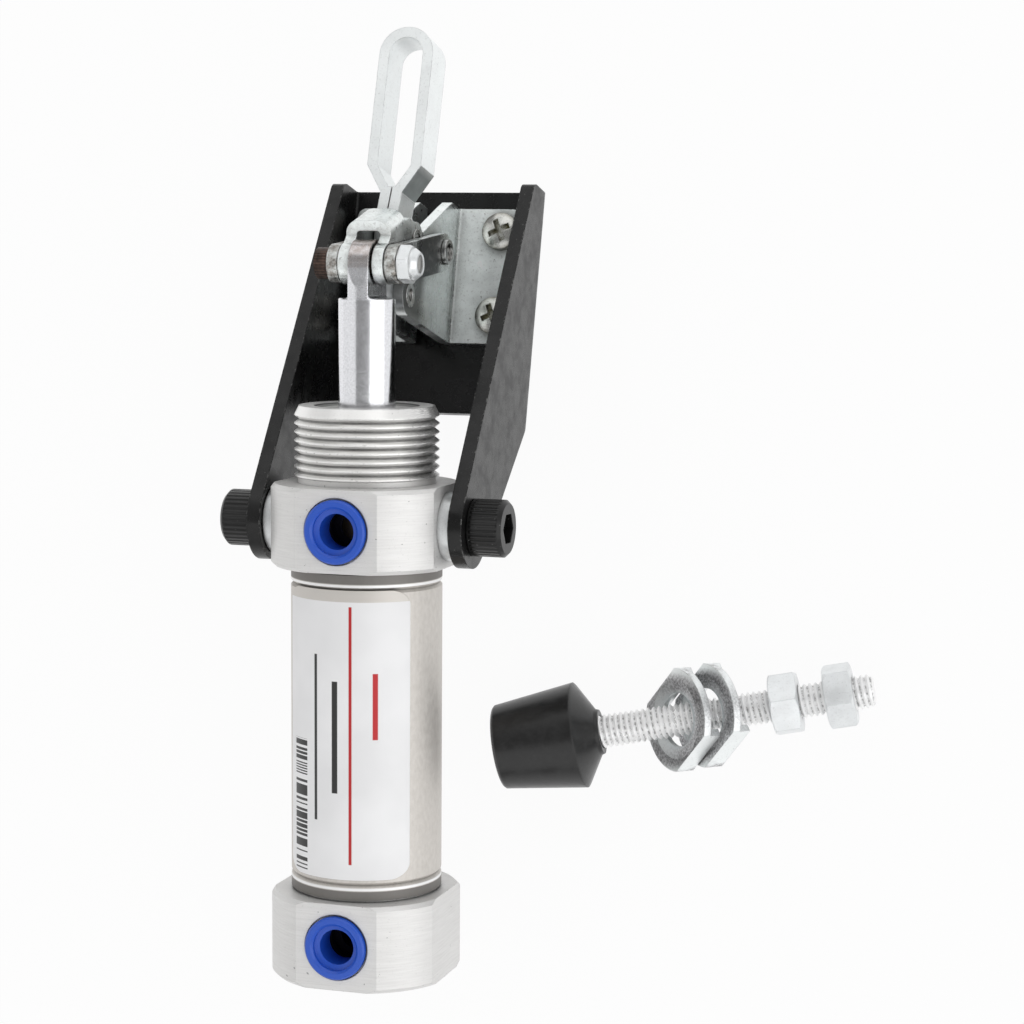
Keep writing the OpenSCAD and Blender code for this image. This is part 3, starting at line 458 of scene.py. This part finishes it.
def painted_shade_between_links(t, p, base):
    """Painted shade on the sides of the yoke and of the frame halves below the knuckle, between the links."""
    inside = short_of(t, absolute(t, dot(t, p, AXIS_X)), YOKE_SIDE_X, 0.05 * MM)
    shade = times(t, inside, within(t, dot(t, p, AXIS_Z), *SHADE_Z, 1.5 * MM),
                  within(t, dot(t, p, AXIS_Y), *SHADE_Y, 1.5 * MM))
    return mix(t, times(t, shade, 0.8), base, (0.09, 0.09, 0.09, 1))


def frame_marks(plate, base):
    base = painted_reflection_on_outer_side(plate.t, plate.p, base)
    base = worn_link_ends(plate.t, plate.p, plate.fine, base)
    base = painted_shade_between_links(plate.t, plate.p, base)
    return mirror_blotches(plate.t, plate.p, base, strength=0.3)


def rivet_marks(plate, base):
    return mirror_blotches(plate.t, plate.p, base, strength=0.6)


def screw_marks(plate, base):
    """Brown dirt and painted shade in the recess of each base screw, and a darker ring round its head."""
    t, p = plate.t, plate.p
    # Brown dirt and painted shade: the recess darkens where the corners are tight
    stain = times(t, corner_shade(t, 1.6 * MM, 0.45, 0.8), patches(t, p, 900.0, 0.3, 0.6))
    base = mix(t, times(t, stain, 0.95), base, (0.13, 0.12, 0.05, 1))
    off_x = math_node(t, "SUBTRACT", absolute(t, dot(t, p, AXIS_X)), SCREW_X)
    off_y = math_node(t, "SUBTRACT", absolute(t, dot(t, p, AXIS_Y)), SCREW_Y)
    ring = past(t, diagonal(t, off_x, off_y), SCREW_DARK_RING_RADIUS, 0.4 * MM)
    ring = times(t, ring, patches(t, p, 700.0, 0.35, 0.6, 0.45, 0.9, rough=0.7))
    return mix(t, ring, base, (0.13, 0.12, 0.09, 1))


def painted_shade_on_bend(t, p, big, base):
    """Painted shade on the arm's lower bend on its right side, which is dark in the photo."""
    own_normal = t.nodes.new("ShaderNodeTexCoord").outputs["Normal"]
    bend = times(t, span(t, dot(t, own_normal, ARM_BEND_NORMAL), 0.94, 0.97),
                 short_of(t, dot(t, p, AXIS_Y), ARM_BEND_END_Y, 0.5 * MM))
    cool = (0.93, 1.0, 1.0)
    return mix(t, bend, base, mix(t, span(t, big, 0.3, 0.7), grey(0.38, cool), grey(0.56, cool)))


def washer_shade(t, p, base):
    """Painted shade on the flanged washers: grainy dark rings, a duller middle, and grainy patches on the bent
    lips.
    """
    radial = from_spindle_axis(t, p)
    washer = past(t, dot(t, p, AXIS_X), WASHERS_X, 0.5 * MM)
    face = span(t, absolute(t, facing(t, SPIN_AXIS)), 0.55, 0.75)
    front = times(t, face, washer)
    ring = times(t, within(t, radial, WASHER_HOLE, WASHER_RING_END, 0.6), front)
    inner = times(t, short_of(t, radial, WASHER_HOLE, 0.4), front)
    lip = times(t, math_node(t, "SUBTRACT", washer, front), past(t, radial, WASHER_LIP, 0.5),
                patches(t, p, 260.0, 0.46, 0.58, detail=2.0, rough=0.5))
    grain = patches(t, p, 2400.0, 0.42, 0.58, rough=0.75)
    grainy_shade = mix(t, grain, grey(0.16, (1, 0.95, 1.0)), grey(0.62, (0.99, 0.98, 1.0)))
    base = mix(t, times(t, inner, 0.7), base, grey(0.50, (0.90, 1.0, 1.04)))
    base = mix(t, times(t, ring, 0.85), base, grainy_shade)
    return mix(t, times(t, lip, 0.75), base, grainy_shade)


def arm_marks(plate, base):
    """The arm's painted shade on its bend, broken thin lines along the edges, and the painted shade on the flanged
    washers.
    """
    t, p = plate.t, plate.p
    base = painted_shade_on_bend(t, p, plate.big, base)
    line = times(t, edge_mask(t, 0.2 * MM, 0.02, 0.12), patches(t, p, 420.0, 0.44, 0.56))
    base = mix(t, times(t, line, 0.55), base, grey(0.25))
    return washer_shade(t, p, base)


def spindle_thread_mask(t, p):
    return times(t, short_of(t, from_spindle_axis(t, p), SPINDLE_SURFACE, 0.02),
                 past(t, times(t, along_spindle(t, p), 1000.0), SPINDLE_LOW, 0.1))


def thread_marks(plate, base):
    """The spindle's thread: pale crests, and broken grey painted shade in the grooves."""
    t, p = plate.t, plate.p
    # Painted shade: grey in the thread's grooves
    groove = times(t, within(t, from_spindle_axis(t, p), *GROOVE_FLOOR, 0.07),
                   patches(t, p, 1700.0, 0.46, 0.60, 0.1, 0.9, rough=0.7))
    return mix(t, spindle_thread_mask(t, p), base, mix(t, groove, grey(0.95), grey(0.30)))


def zinc_frame():
    return zinc("zinc_frame", value=0.96, tint=(0.955, 1.0, 0.99), mottle=0.16, rough=(0.20, 0.40),
                metal=0.95, dark=0.85, flat=0.78, reach=3.0 * MM, marks=frame_marks)


def screw_zinc():
    return zinc("screw_zinc", value=0.62, tint=(1.0, 1.0, 0.95), mottle=0.15, rough=(0.18, 0.30), metal=1.0,
                dark=0.0, marks=screw_marks)


def rivet_steel():
    return zinc("rivet_steel", value=0.74, tint=(0.99, 1.0, 0.99), mottle=0.40, rough=(0.14, 0.32), metal=1.0,
                dark=0.9, marks=rivet_marks)


def arm_zinc():
    return zinc("arm_zinc", value=0.94, tint=(0.97, 1.0, 1.0), mottle=0.04, rough=(0.30, 0.44), flat=0.65,
                pits=0.5, marks=arm_marks)


def bright_zinc():
    return zinc("bright_zinc", value=0.86, tint=(0.975, 1.0, 1.01), mottle=0.10, rough=(0.26, 0.42),
                metal=0.75, dark=0.7, flat=0.25, pits=0.4, marks=thread_marks, dull=spindle_thread_mask)


def bronze():
    return zinc("bronze", value=0.12, tint=(1.0, 0.75, 0.45), mottle=0.1, rough=(0.34, 0.5))


# The other materials
def black_steel():
    """Black paint on steel: near black, fairly smooth, with pale and bare specks along the edges."""
    m, t, b = new_material("black_steel")
    p = coords(t)
    fine = noise(t, p, scale=1500.0, detail=3.0, rough=0.6)
    big = noise(t, p, scale=120.0, detail=2.0, rough=0.5)
    worn = times(t, edge_mask(t, 0.5 * MM), specks(t, p, 1400.0, 0.53, 0.62))
    speck = times(t, specks(t, p, 1700.0, 0.72, 0.76), 0.5)
    paint_grey = mix(t, span(t, big, 0.3, 0.7), grey(0.004), grey(0.009))
    put(t, mix(t, either(t, worn, speck), paint_grey, (0.17, 0.17, 0.165, 1)), b.inputs["Base Color"])
    put(t, patches(t, p, 330.0, 0.35, 0.65, 0.20, 0.38, detail=4.0), b.inputs["Roughness"])
    b.inputs["Specular IOR Level"].default_value = 0.32
    relief(t, b, fine, distance=0.02 * MM, strength=0.25, edge=0.35 * MM)
    return m


def nose_colour(t, base, nose, barrel, radius, rub):
    """The threaded nose: turned lines, bright crests, and a dark side towards +X that is a painted reflection."""
    turned = combine(t, times(t, barrel.angle, 1.5), times(t, barrel.along, 7.0))
    cut = times(t, patches(t, turned, 1.0, 0.40, 0.62),
                short_of(t, barrel.along, NOSE_THREAD_TOP, 0.15))
    base = mix(t, nose, base, mix(t, cut, grey(0.93, (1, 0.995, 0.98)), grey(0.66, (1, 0.985, 0.96))))
    crest = times(t, nose, past(t, radius, NOSE_CREST, 0.085))
    base = mix(t, crest, base, grey(0.95, (1, 0.995, 0.98)))
    # Painted reflection: past about 60 degrees towards +X the nose darkens
    bend = times(t, nose, past(t, barrel.angle, 1.05, 0.2), span(t, rub, 0.4, 0.6, 0.2, 0.8))
    return mix(t, bend, base, grey(0.22))


def nose_dish_shade(t, base, barrel, radius):
    """Painted shade in the nose's end face: the shallow dish is darker and duller than its rim, with a dark line
    between them.
    """
    face = past(t, barrel.along, NOSE_FACE, 0.05)
    base = mix(t, times(t, face, short_of(t, radius, NOSE_DISH, 0.1)), base, grey(0.34, (1, 0.99, 0.97)))
    line = within(t, radius, NOSE_DISH - 0.1, NOSE_DISH + 0.3, 0.1)
    return mix(t, times(t, face, line), base, grey(0.10))


def cover_wear(t, base, p, fine):
    """Small pits, and chips along the edges."""
    chip = times(t, edge_mask(t, 0.4 * MM), specks(t, p, 1300.0, 0.60, 0.66))
    pit = either(t, specks(t, p, 1100.0, 0.725, 0.755), times(t, span(t, fine, 0.62, 0.75), 0.25))
    return mix(t, times(t, either(t, pit, chip), 0.75), base, grey(0.2))


def nose_groove_shade(t, base, nose, barrel, radius, rub):
    """Painted shade in the thread's grooves."""
    groove = times(t, nose, short_of(t, barrel.along, NOSE_THREAD_TOP + 0.1, 0.15),
                   short_of(t, radius, NOSE_GROOVE, 0.1), span(t, rub, 0.35, 0.6, 0.45, 1.0))
    return mix(t, times(t, groove, 0.62), base, grey(0.12, (1, 0.98, 0.95)))


def port_bore_shade(t, base, barrel):
    """Painted shade: the inside of both ports, near black."""
    bands = [within(t, barrel.along, middle - PORT_HALF, middle + PORT_HALF, 0.1) for middle in PORT_MIDDLES]
    bore = times(t, either(t, bands[0], bands[1]), within(t, barrel.side, -PORT_HALF, PORT_HALF, 0.1),
                 short_of(t, barrel.out, PORT_FLOOR, 0.05))
    return mix(t, bore, base, (0.004, 0.004, 0.014, 1))


def cover_aluminium():
    """Satin aluminium: pale and even, with faint scratches across the flats, and a turned, threaded nose. Painted
    shade lies in its corners, grooves, dish and ports, with a painted reflection on the nose's +X side.
    """
    m, t, b = new_material("cover_aluminium")
    barrel = barrel_coords(t)
    p = coords(t)
    fine = noise(t, p, scale=3600.0, detail=2.0, rough=0.6)
    across = combine(t, times(t, barrel.side, 0.12), times(t, barrel.out, 0.12), times(t, barrel.along, 2.6))
    lines = noise(t, across, scale=1.5, detail=3.0, rough=0.6)
    radius = diagonal(t, barrel.side, barrel.out)
    around = combine(t, times(t, barrel.angle, 5.0), times(t, barrel.along, 5.0))
    rub = noise(t, around, scale=2.0, detail=4.0, rough=0.7)
    nose = times(t, past(t, barrel.along, NOSE_START, 0.15), past(t, radius, NOSE_CORE, 0.05))
    base = mix(t, span(t, lines, 0.3, 0.7), grey(0.69, (1, 0.99, 0.975)), grey(0.75, (1, 0.993, 0.98)))
    base = nose_colour(t, base, nose, barrel, radius, rub)
    base = nose_dish_shade(t, base, barrel, radius)
    base = cover_wear(t, base, p, fine)
    base = nose_groove_shade(t, base, nose, barrel, radius, rub)
    # Painted shade in the corners
    base = mix(t, times(t, corner_shade(t, 0.8 * MM), 0.4), base, grey(0.14))
    put(t, port_bore_shade(t, base, barrel), b.inputs["Base Color"])
    put(t, times_plus(t, nose, 0.3, 0.5), b.inputs["Metallic"])
    put(t, times_plus(t, nose, -0.12, span(t, lines, 0.3, 0.7, 0.48, 0.40)), b.inputs["Roughness"])
    height = math_node(t, "ADD", times(t, lines, 0.5), times(t, fine, 0.5))
    relief(t, b, height, distance=0.02 * MM, strength=0.45, edge=0.18 * MM)
    return m


def tube_steel():
    """Dull warm steel, turned; painted shade darkens its rolled ends behind a painted highlight along the lip."""
    m, t, b = new_material("tube_steel")
    barrel = barrel_coords(t)
    along = barrel.along
    around = combine(t, times(t, barrel.angle, 6.0), times(t, along, 0.25))
    rub = noise(t, around, scale=3.0, detail=4.0, rough=0.6)
    base = mix(t, span(t, rub, 0.3, 0.7), grey(0.58, (1, 0.95, 0.89)), grey(0.68, (1, 0.96, 0.91)))
    # Painted shade in the rolled ends
    dark = either(t, within(t, along, TUBE_TOP - ROLL_INTO, TUBE_TOP + ROLL_OVER, 0.1),
                  within(t, along, TUBE_LOW - ROLL_OVER, TUBE_LOW + ROLL_INTO, 0.1))
    base = mix(t, times(t, dark, 0.8), base, (0.10, 0.095, 0.09, 1))
    # Painted highlight along the rolled lip
    lip = either(t, within(t, along, TUBE_TOP - ROLL_LIP_HIGHLIGHT[1], TUBE_TOP - ROLL_LIP_HIGHLIGHT[0], 0.08),
                 within(t, along, TUBE_LOW + ROLL_LIP_HIGHLIGHT[0], TUBE_LOW + ROLL_LIP_HIGHLIGHT[1], 0.08))
    base = mix(t, lip, base, grey(0.93))
    # Painted shade in the corners
    base = mix(t, times(t, corner_shade(t, 0.8 * MM), 0.6), base, grey(0.06))
    put(t, base, b.inputs["Base Color"])
    b.inputs["Metallic"].default_value = 0.65
    put(t, span(t, rub, 0.3, 0.7, 0.46, 0.56), b.inputs["Roughness"])
    relief(t, b, rub, distance=0.012 * MM, strength=0.3)
    return m


def rod_chrome():
    """Hard chrome on the rod, with a grain; the flat tongue is duller, and brownish at its end."""
    m, t, b = new_material("rod_chrome")
    p = coords(t)
    streak = noise(t, p, scale=700.0, detail=3.0, rough=0.6)
    grain = noise(t, p, scale=3000.0, detail=2.0, rough=0.6)
    reach = dot(t, offset(t, p, KNUCKLE), ALONG)
    tongue = past(t, reach, TONGUE_START, 0.3 * MM)
    brown = times(t, past(t, reach, TONGUE_BROWN_START, 0.2 * MM), span(t, streak, 0.3, 0.6, 0.30, 0.60),
                  span(t, reach, -0.5 * MM, 4.0 * MM, 0.7, 1.3))
    base = mix(t, span(t, grain, 0.35, 0.65), (0.74, 0.745, 0.77, 1), (0.84, 0.845, 0.87, 1))
    put(t, mix(t, brown, base, (0.26, 0.19, 0.15, 1)), b.inputs["Base Color"])
    b.inputs["Metallic"].default_value = 1.0
    put(t, times_plus(t, tongue, 0.10, span(t, streak, 0.3, 0.7, 0.13, 0.20)), b.inputs["Roughness"])
    relief(t, b, grain, distance=0.01 * MM, strength=0.5, edge=0.25 * MM)
    return m


def knurl(t, y, z, ridges):
    """Ridges round an axis along X, from 0 to 1."""
    wave = math_node(t, "SINE", times(t, math_node(t, "ARCTAN2", y, z), ridges))
    return times_plus(t, wave, 0.5, 0.5)


def black_oxide():
    """Black oxide on the trunnion screws; the head's rim is knurled along the screw, with a painted highlight on
    the ridges.
    """
    m, t, b = new_material("black_oxide")
    rel = offset(t, coords(t), TRUNNION)
    x = absolute(t, dot(t, rel, AXIS_X))
    y = dot(t, rel, AXIS_Y)
    z = dot(t, rel, AXIS_Z)
    rim = past(t, diagonal(t, y, z), SCREW_HEAD_RIM, 0.1 * MM)
    head = within(t, x, *SCREW_HEAD_X, 0.2 * MM)
    ridge = times(t, knurl(t, y, z, SCREW_RIDGES), times(t, head, rim))
    # Painted highlight: the knurl's ridges are a little lighter
    base = mix(t, times(t, ridge, 0.5), grey(0.005), grey(0.02))
    base = mix(t, times(t, specks(t, coords(t), 1500.0, 0.70, 0.75), 0.5), base, grey(0.25))
    put(t, base, b.inputs["Base Color"])
    b.inputs["Roughness"].default_value = 0.32
    b.inputs["Specular IOR Level"].default_value = 0.35
    relief(t, b, ridge, distance=0.16 * MM, strength=1.0, edge=0.3 * MM)
    return m


def label_field(t, along, degrees, field, soft=0.25):
    low, high, start, end = field[:4]
    return times(t, within(t, degrees, low, high, soft), within(t, along, start, end, 0.05))


def bare_label():
    """Silver-white film with a red line, a block of bars and three plain fields; its upper end is steel."""
    m, t, b = new_material("bare_label")
    barrel = barrel_coords(t)
    along = barrel.along
    degrees = times(t, barrel.angle, math.degrees(1))
    film = noise(t, coords(t), scale=90.0, detail=2.0, rough=0.5)
    base = mix(t, span(t, film, 0.35, 0.65), grey(0.80, (1, 1, 1.01)), grey(0.86, (1, 1, 1.01)))
    base = mix(t, label_field(t, along, degrees, LABEL_RED_LINE), base, (0.46, 0.004, 0.008, 1))
    cell = t.nodes.new("ShaderNodeTexWhiteNoise")
    cell.noise_dimensions = "1D"
    put(t, math_node(t, "FLOOR", times(t, along, 4.3)), cell.inputs["W"])
    bars = math_node(t, "GREATER_THAN", cell.outputs["Value"], 0.45)
    base = mix(t, times(t, bars, label_field(t, along, degrees, LABEL_BARS, 0.3)), base, grey(0.015))
    for field in LABEL_FIELDS:
        base = mix(t, label_field(t, along, degrees, field), base, field[4])
    bare = past(t, along, LABEL_TOP, 0.05)
    put(t, mix(t, bare, base, grey(0.62, (1, 0.955, 0.90))), b.inputs["Base Color"])
    put(t, times(t, bare, 0.65), b.inputs["Metallic"])
    put(t, times_plus(t, bare, 0.16, 0.34), b.inputs["Roughness"])
    return m


def plastic(name, color, rough, edge=0.2 * MM, specular=0.5):
    m, t, b = new_material(name)
    b.inputs["Base Color"].default_value = color
    b.inputs["Roughness"].default_value = rough
    b.inputs["Specular IOR Level"].default_value = specular
    put(t, bevel_normal(t, edge), b.inputs["Normal"])
    return m


def tip_rubber():
    """Smooth black rubber, with dust on its small end face."""
    m, t, b = new_material("tip_rubber")
    p = coords(t)
    dust = patches(t, p, 420.0, 0.45, 0.75, detail=5.0, rough=0.65)
    end_face = short_of(t, along_spindle(t, p), 0.35 * MM, 0.25 * MM)
    amount = times_plus(t, end_face, 0.5, times(t, dust, 0.05))
    put(t, mix(t, amount, grey(0.006), (0.22, 0.22, 0.23, 1)), b.inputs["Base Color"])
    put(t, span(t, dust, 0.0, 1.0, 0.28, 0.42), b.inputs["Roughness"])
    relief(t, b, dust, distance=0.04 * MM, strength=0.3, edge=0.5 * MM)
    return m


def rusty_bolt():
    """The knuckle bolt: dark brown tarnished and knurled head, bright threaded end."""
    m, t, b = new_material("rusty_bolt")
    p = coords(t)
    spot = patches(t, p, 900.0, 0.4, 0.65, detail=4.0)
    rel = offset(t, p, KNUCKLE)
    x = dot(t, p, AXIS_X)
    head = short_of(t, x, BOLT_HEAD_X, 0.1 * MM)
    ridge = times(t, knurl(t, dot(t, rel, AXIS_Y), dot(t, rel, AXIS_Z), BOLT_RIDGES), head)
    brown = mix(t, spot, (0.035, 0.022, 0.017, 1), (0.11, 0.07, 0.055, 1))
    brown = mix(t, times(t, ridge, 0.5), brown, (0.02, 0.014, 0.012, 1))
    bright = past(t, x, BOLT_THREAD_X, 0.25 * MM)
    put(t, mix(t, bright, brown, (0.42, 0.42, 0.41, 1)), b.inputs["Base Color"])
    b.inputs["Metallic"].default_value = 0.7
    b.inputs["Roughness"].default_value = 0.40
    height = math_node(t, "ADD", ridge, times(t, spot, 0.3))
    relief(t, b, height, distance=0.1 * MM, strength=0.8, edge=0.2 * MM)
    return m


MATERIALS = {
    "black_steel": black_steel(),
    "zinc_frame": zinc_frame(),
    "screw_zinc": screw_zinc(),
    "rivet_steel": rivet_steel(),
    "arm_zinc": arm_zinc(),
    "rusty_bolt": rusty_bolt(),
    "bright_zinc": bright_zinc(),
    "nylon": plastic("nylon", (0.72, 0.72, 0.70, 1), 0.45),
    "rod_chrome": rod_chrome(),
    "cover_aluminium": cover_aluminium(),
    "seal_rubber": plastic("seal_rubber", (0.006, 0.006, 0.012, 1), 0.6, specular=0.2),
    "brown_plastic": plastic("brown_plastic", (0.03, 0.025, 0.02, 1), 0.5),
    "tube_steel": tube_steel(),
    "bronze": bronze(),
    "bare_label": bare_label(),
    "black_oxide": black_oxide(),
    "blue_plastic": plastic("blue_plastic", (0.014, 0.085, 0.52, 1), 0.36, edge=0.1 * MM),
    "tip_rubber": tip_rubber(),
}


def paint(obj, material):
    if not obj.material_slots:
        obj.data.materials.append(material)
    for s in obj.material_slots:
        s.link = "OBJECT"
        s.material = material


for part in frame["record"]["subparts"]:
    paint(nodes[part["node"]], MATERIALS[part["material_slot"]])


# Meshes that the scene adds
def add_mesh(name, verts, polygons):
    mesh = bpy.data.meshes.new(name)
    mesh.from_pydata(verts, [], polygons)
    mesh.update()
    obj = bpy.data.objects.new(name, mesh)
    bpy.context.scene.collection.objects.link(obj)
    return obj


# The spindle's real thread, which stands for its plain cylinder
def thread_radius(z, turn):
    """Radius at a distance along the thread and a share of a turn, with a chamfer at both ends."""
    phase = (z / THREAD_PITCH - turn) % 1.0
    groove = min(max((abs(2 * phase - 1) - CREST_SHARE) / FLANK_SHARE, 0.0), 1.0)
    radius = THREAD_RADIUS - THREAD_DEPTH * groove
    end = min(z, THREAD_LENGTH - z)
    if end < THREAD_CHAMFER:
        radius = min(radius, THREAD_RADIUS - THREAD_CHAMFER + end)
    return radius


def threaded_rod(name, origin, axis, segments=40, rows_per_turn=8):
    axis = axis.normalized()
    across = axis.orthogonal().normalized()
    upward = axis.cross(across)
    rows = int(THREAD_LENGTH / THREAD_PITCH * rows_per_turn)
    verts, polygons = [], []
    for row in range(rows + 1):
        z = THREAD_LENGTH * row / rows
        for i in range(segments):
            angle = 2 * math.pi * i / segments
            ray = across * math.cos(angle) + upward * math.sin(angle)
            verts.append(tuple(origin + axis * z + ray * thread_radius(z, i / segments)))
    for row in range(rows):
        low = row * segments
        high = low + segments
        for i in range(segments):
            k = (i + 1) % segments
            polygons.append((low + i, low + k, high + k, high + i))
    polygons.append(tuple(reversed(range(segments))))
    polygons.append(tuple(rows * segments + i for i in range(segments)))
    rod = add_mesh(name, verts, polygons)
    for polygon in rod.data.polygons:
        polygon.use_smooth = True
    return rod


thread = threaded_rod("spindle_thread", SPIN_START + SPIN_AXIS * THREAD_START, SPIN_AXIS)
paint(thread, MATERIALS["bright_zinc"])
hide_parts("spindle")
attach(thread, "base")


# The table: white to the camera and in mirrors, with a part of its own shading, so the shadows stay
def table_material():
    m = bpy.data.materials.new("table")
    m.use_nodes = True
    t = m.node_tree
    t.nodes.clear()
    out = t.nodes.new("ShaderNodeOutputMaterial")
    blend = t.nodes.new("ShaderNodeMixShader")
    diffuse = t.nodes.new("ShaderNodeBsdfDiffuse")
    diffuse.inputs[0].default_value = FLOOR_GREY
    glow = t.nodes.new("ShaderNodeEmission")
    glow.inputs[0].default_value = WHITE
    glow.inputs[1].default_value = 1.0
    path = t.nodes.new("ShaderNodeLightPath")
    seen = either(t, path.outputs["Is Camera Ray"], path.outputs["Is Glossy Ray"])
    t.links.new(times(t, seen, FLOOR_WHITE), blend.inputs[0])
    t.links.new(diffuse.outputs[0], blend.inputs[1])
    t.links.new(glow.outputs[0], blend.inputs[2])
    t.links.new(blend.outputs[0], out.inputs[0])
    return m


corners = ((-1, -1), (1, -1), (1, 1), (-1, 1))
floor = add_mesh("table", [(x * TABLE_HALF, y * TABLE_HALF, TABLE_Z) for x, y in corners], [(0, 1, 2, 3)])
floor.data.materials.append(table_material())


# World: round the clamp's length, pale walls at the left, a duller strip overhead and a bright wall at the
# right, and white to the camera
def studio_ramp(t):
    direction = t.nodes.new("ShaderNodeTexCoord").outputs["Generated"]
    turn = math_node(t, "ARCTAN2", dot(t, direction, AXIS_X), dot(t, direction, AXIS_Z))
    ramp = t.nodes.new("ShaderNodeValToRGB")
    t.links.new(span(t, turn, -math.pi, math.pi), ramp.inputs[0])
    stops = ramp.color_ramp.elements
    stops[0].position = 0.0
    stops[0].color = grey(WORLD_LEFT)
    stops[1].position = 1.0
    stops[1].color = grey(WORLD_RIGHT)
    for degrees, value in WALL_STOPS:
        stops.new((degrees + 180) / 360).color = grey(value)
    return ramp.outputs[0]


def build_world():
    world = bpy.data.worlds.new("studio")
    bpy.context.scene.world = world
    world.use_nodes = True
    t = world.node_tree
    t.nodes.clear()
    out = t.nodes.new("ShaderNodeOutputWorld")
    walls = t.nodes.new("ShaderNodeBackground")
    t.links.new(studio_ramp(t), walls.inputs[0])
    walls.inputs[1].default_value = 1.0
    backdrop = t.nodes.new("ShaderNodeBackground")
    backdrop.inputs[0].default_value = WHITE
    backdrop.inputs[1].default_value = 1.0
    blend = t.nodes.new("ShaderNodeMixShader")
    path = t.nodes.new("ShaderNodeLightPath")
    t.links.new(path.outputs["Is Camera Ray"], blend.inputs[0])
    t.links.new(walls.outputs[0], blend.inputs[1])
    t.links.new(backdrop.outputs[0], blend.inputs[2])
    t.links.new(blend.outputs[0], out.inputs[0])


build_world()


# Soft boxes, with the point that each one faces
def softbox(name, place, target, size, power):
    light = bpy.data.lights.new(name, "AREA")
    light.shape = "RECTANGLE"
    light.size, light.size_y = size
    light.energy = power
    obj = bpy.data.objects.new(name, light)
    bpy.context.scene.collection.objects.link(obj)
    obj.location = place
    obj.rotation_euler = (Vector(target) - Vector(place)).to_track_quat("-Z", "Y").to_euler()


softbox("left_box", place=(-0.95, -0.05, 0.55), target=(0, -0.02, 0), size=(1.3, 1.5), power=3.4)
softbox("right_box", place=(0.95, -0.20, 0.50), target=(0, -0.04, 0), size=(0.9, 1.2), power=3.8)
softbox("far_box", place=(0.05, 1.08, 0.78), target=(0, 0, 0), size=(1.8, 1.3), power=7.0)
softbox("near_box", place=(0.10, -1.10, 0.92), target=(0, -0.05, 0), size=(1.9, 1.5), power=8.0)

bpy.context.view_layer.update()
import json
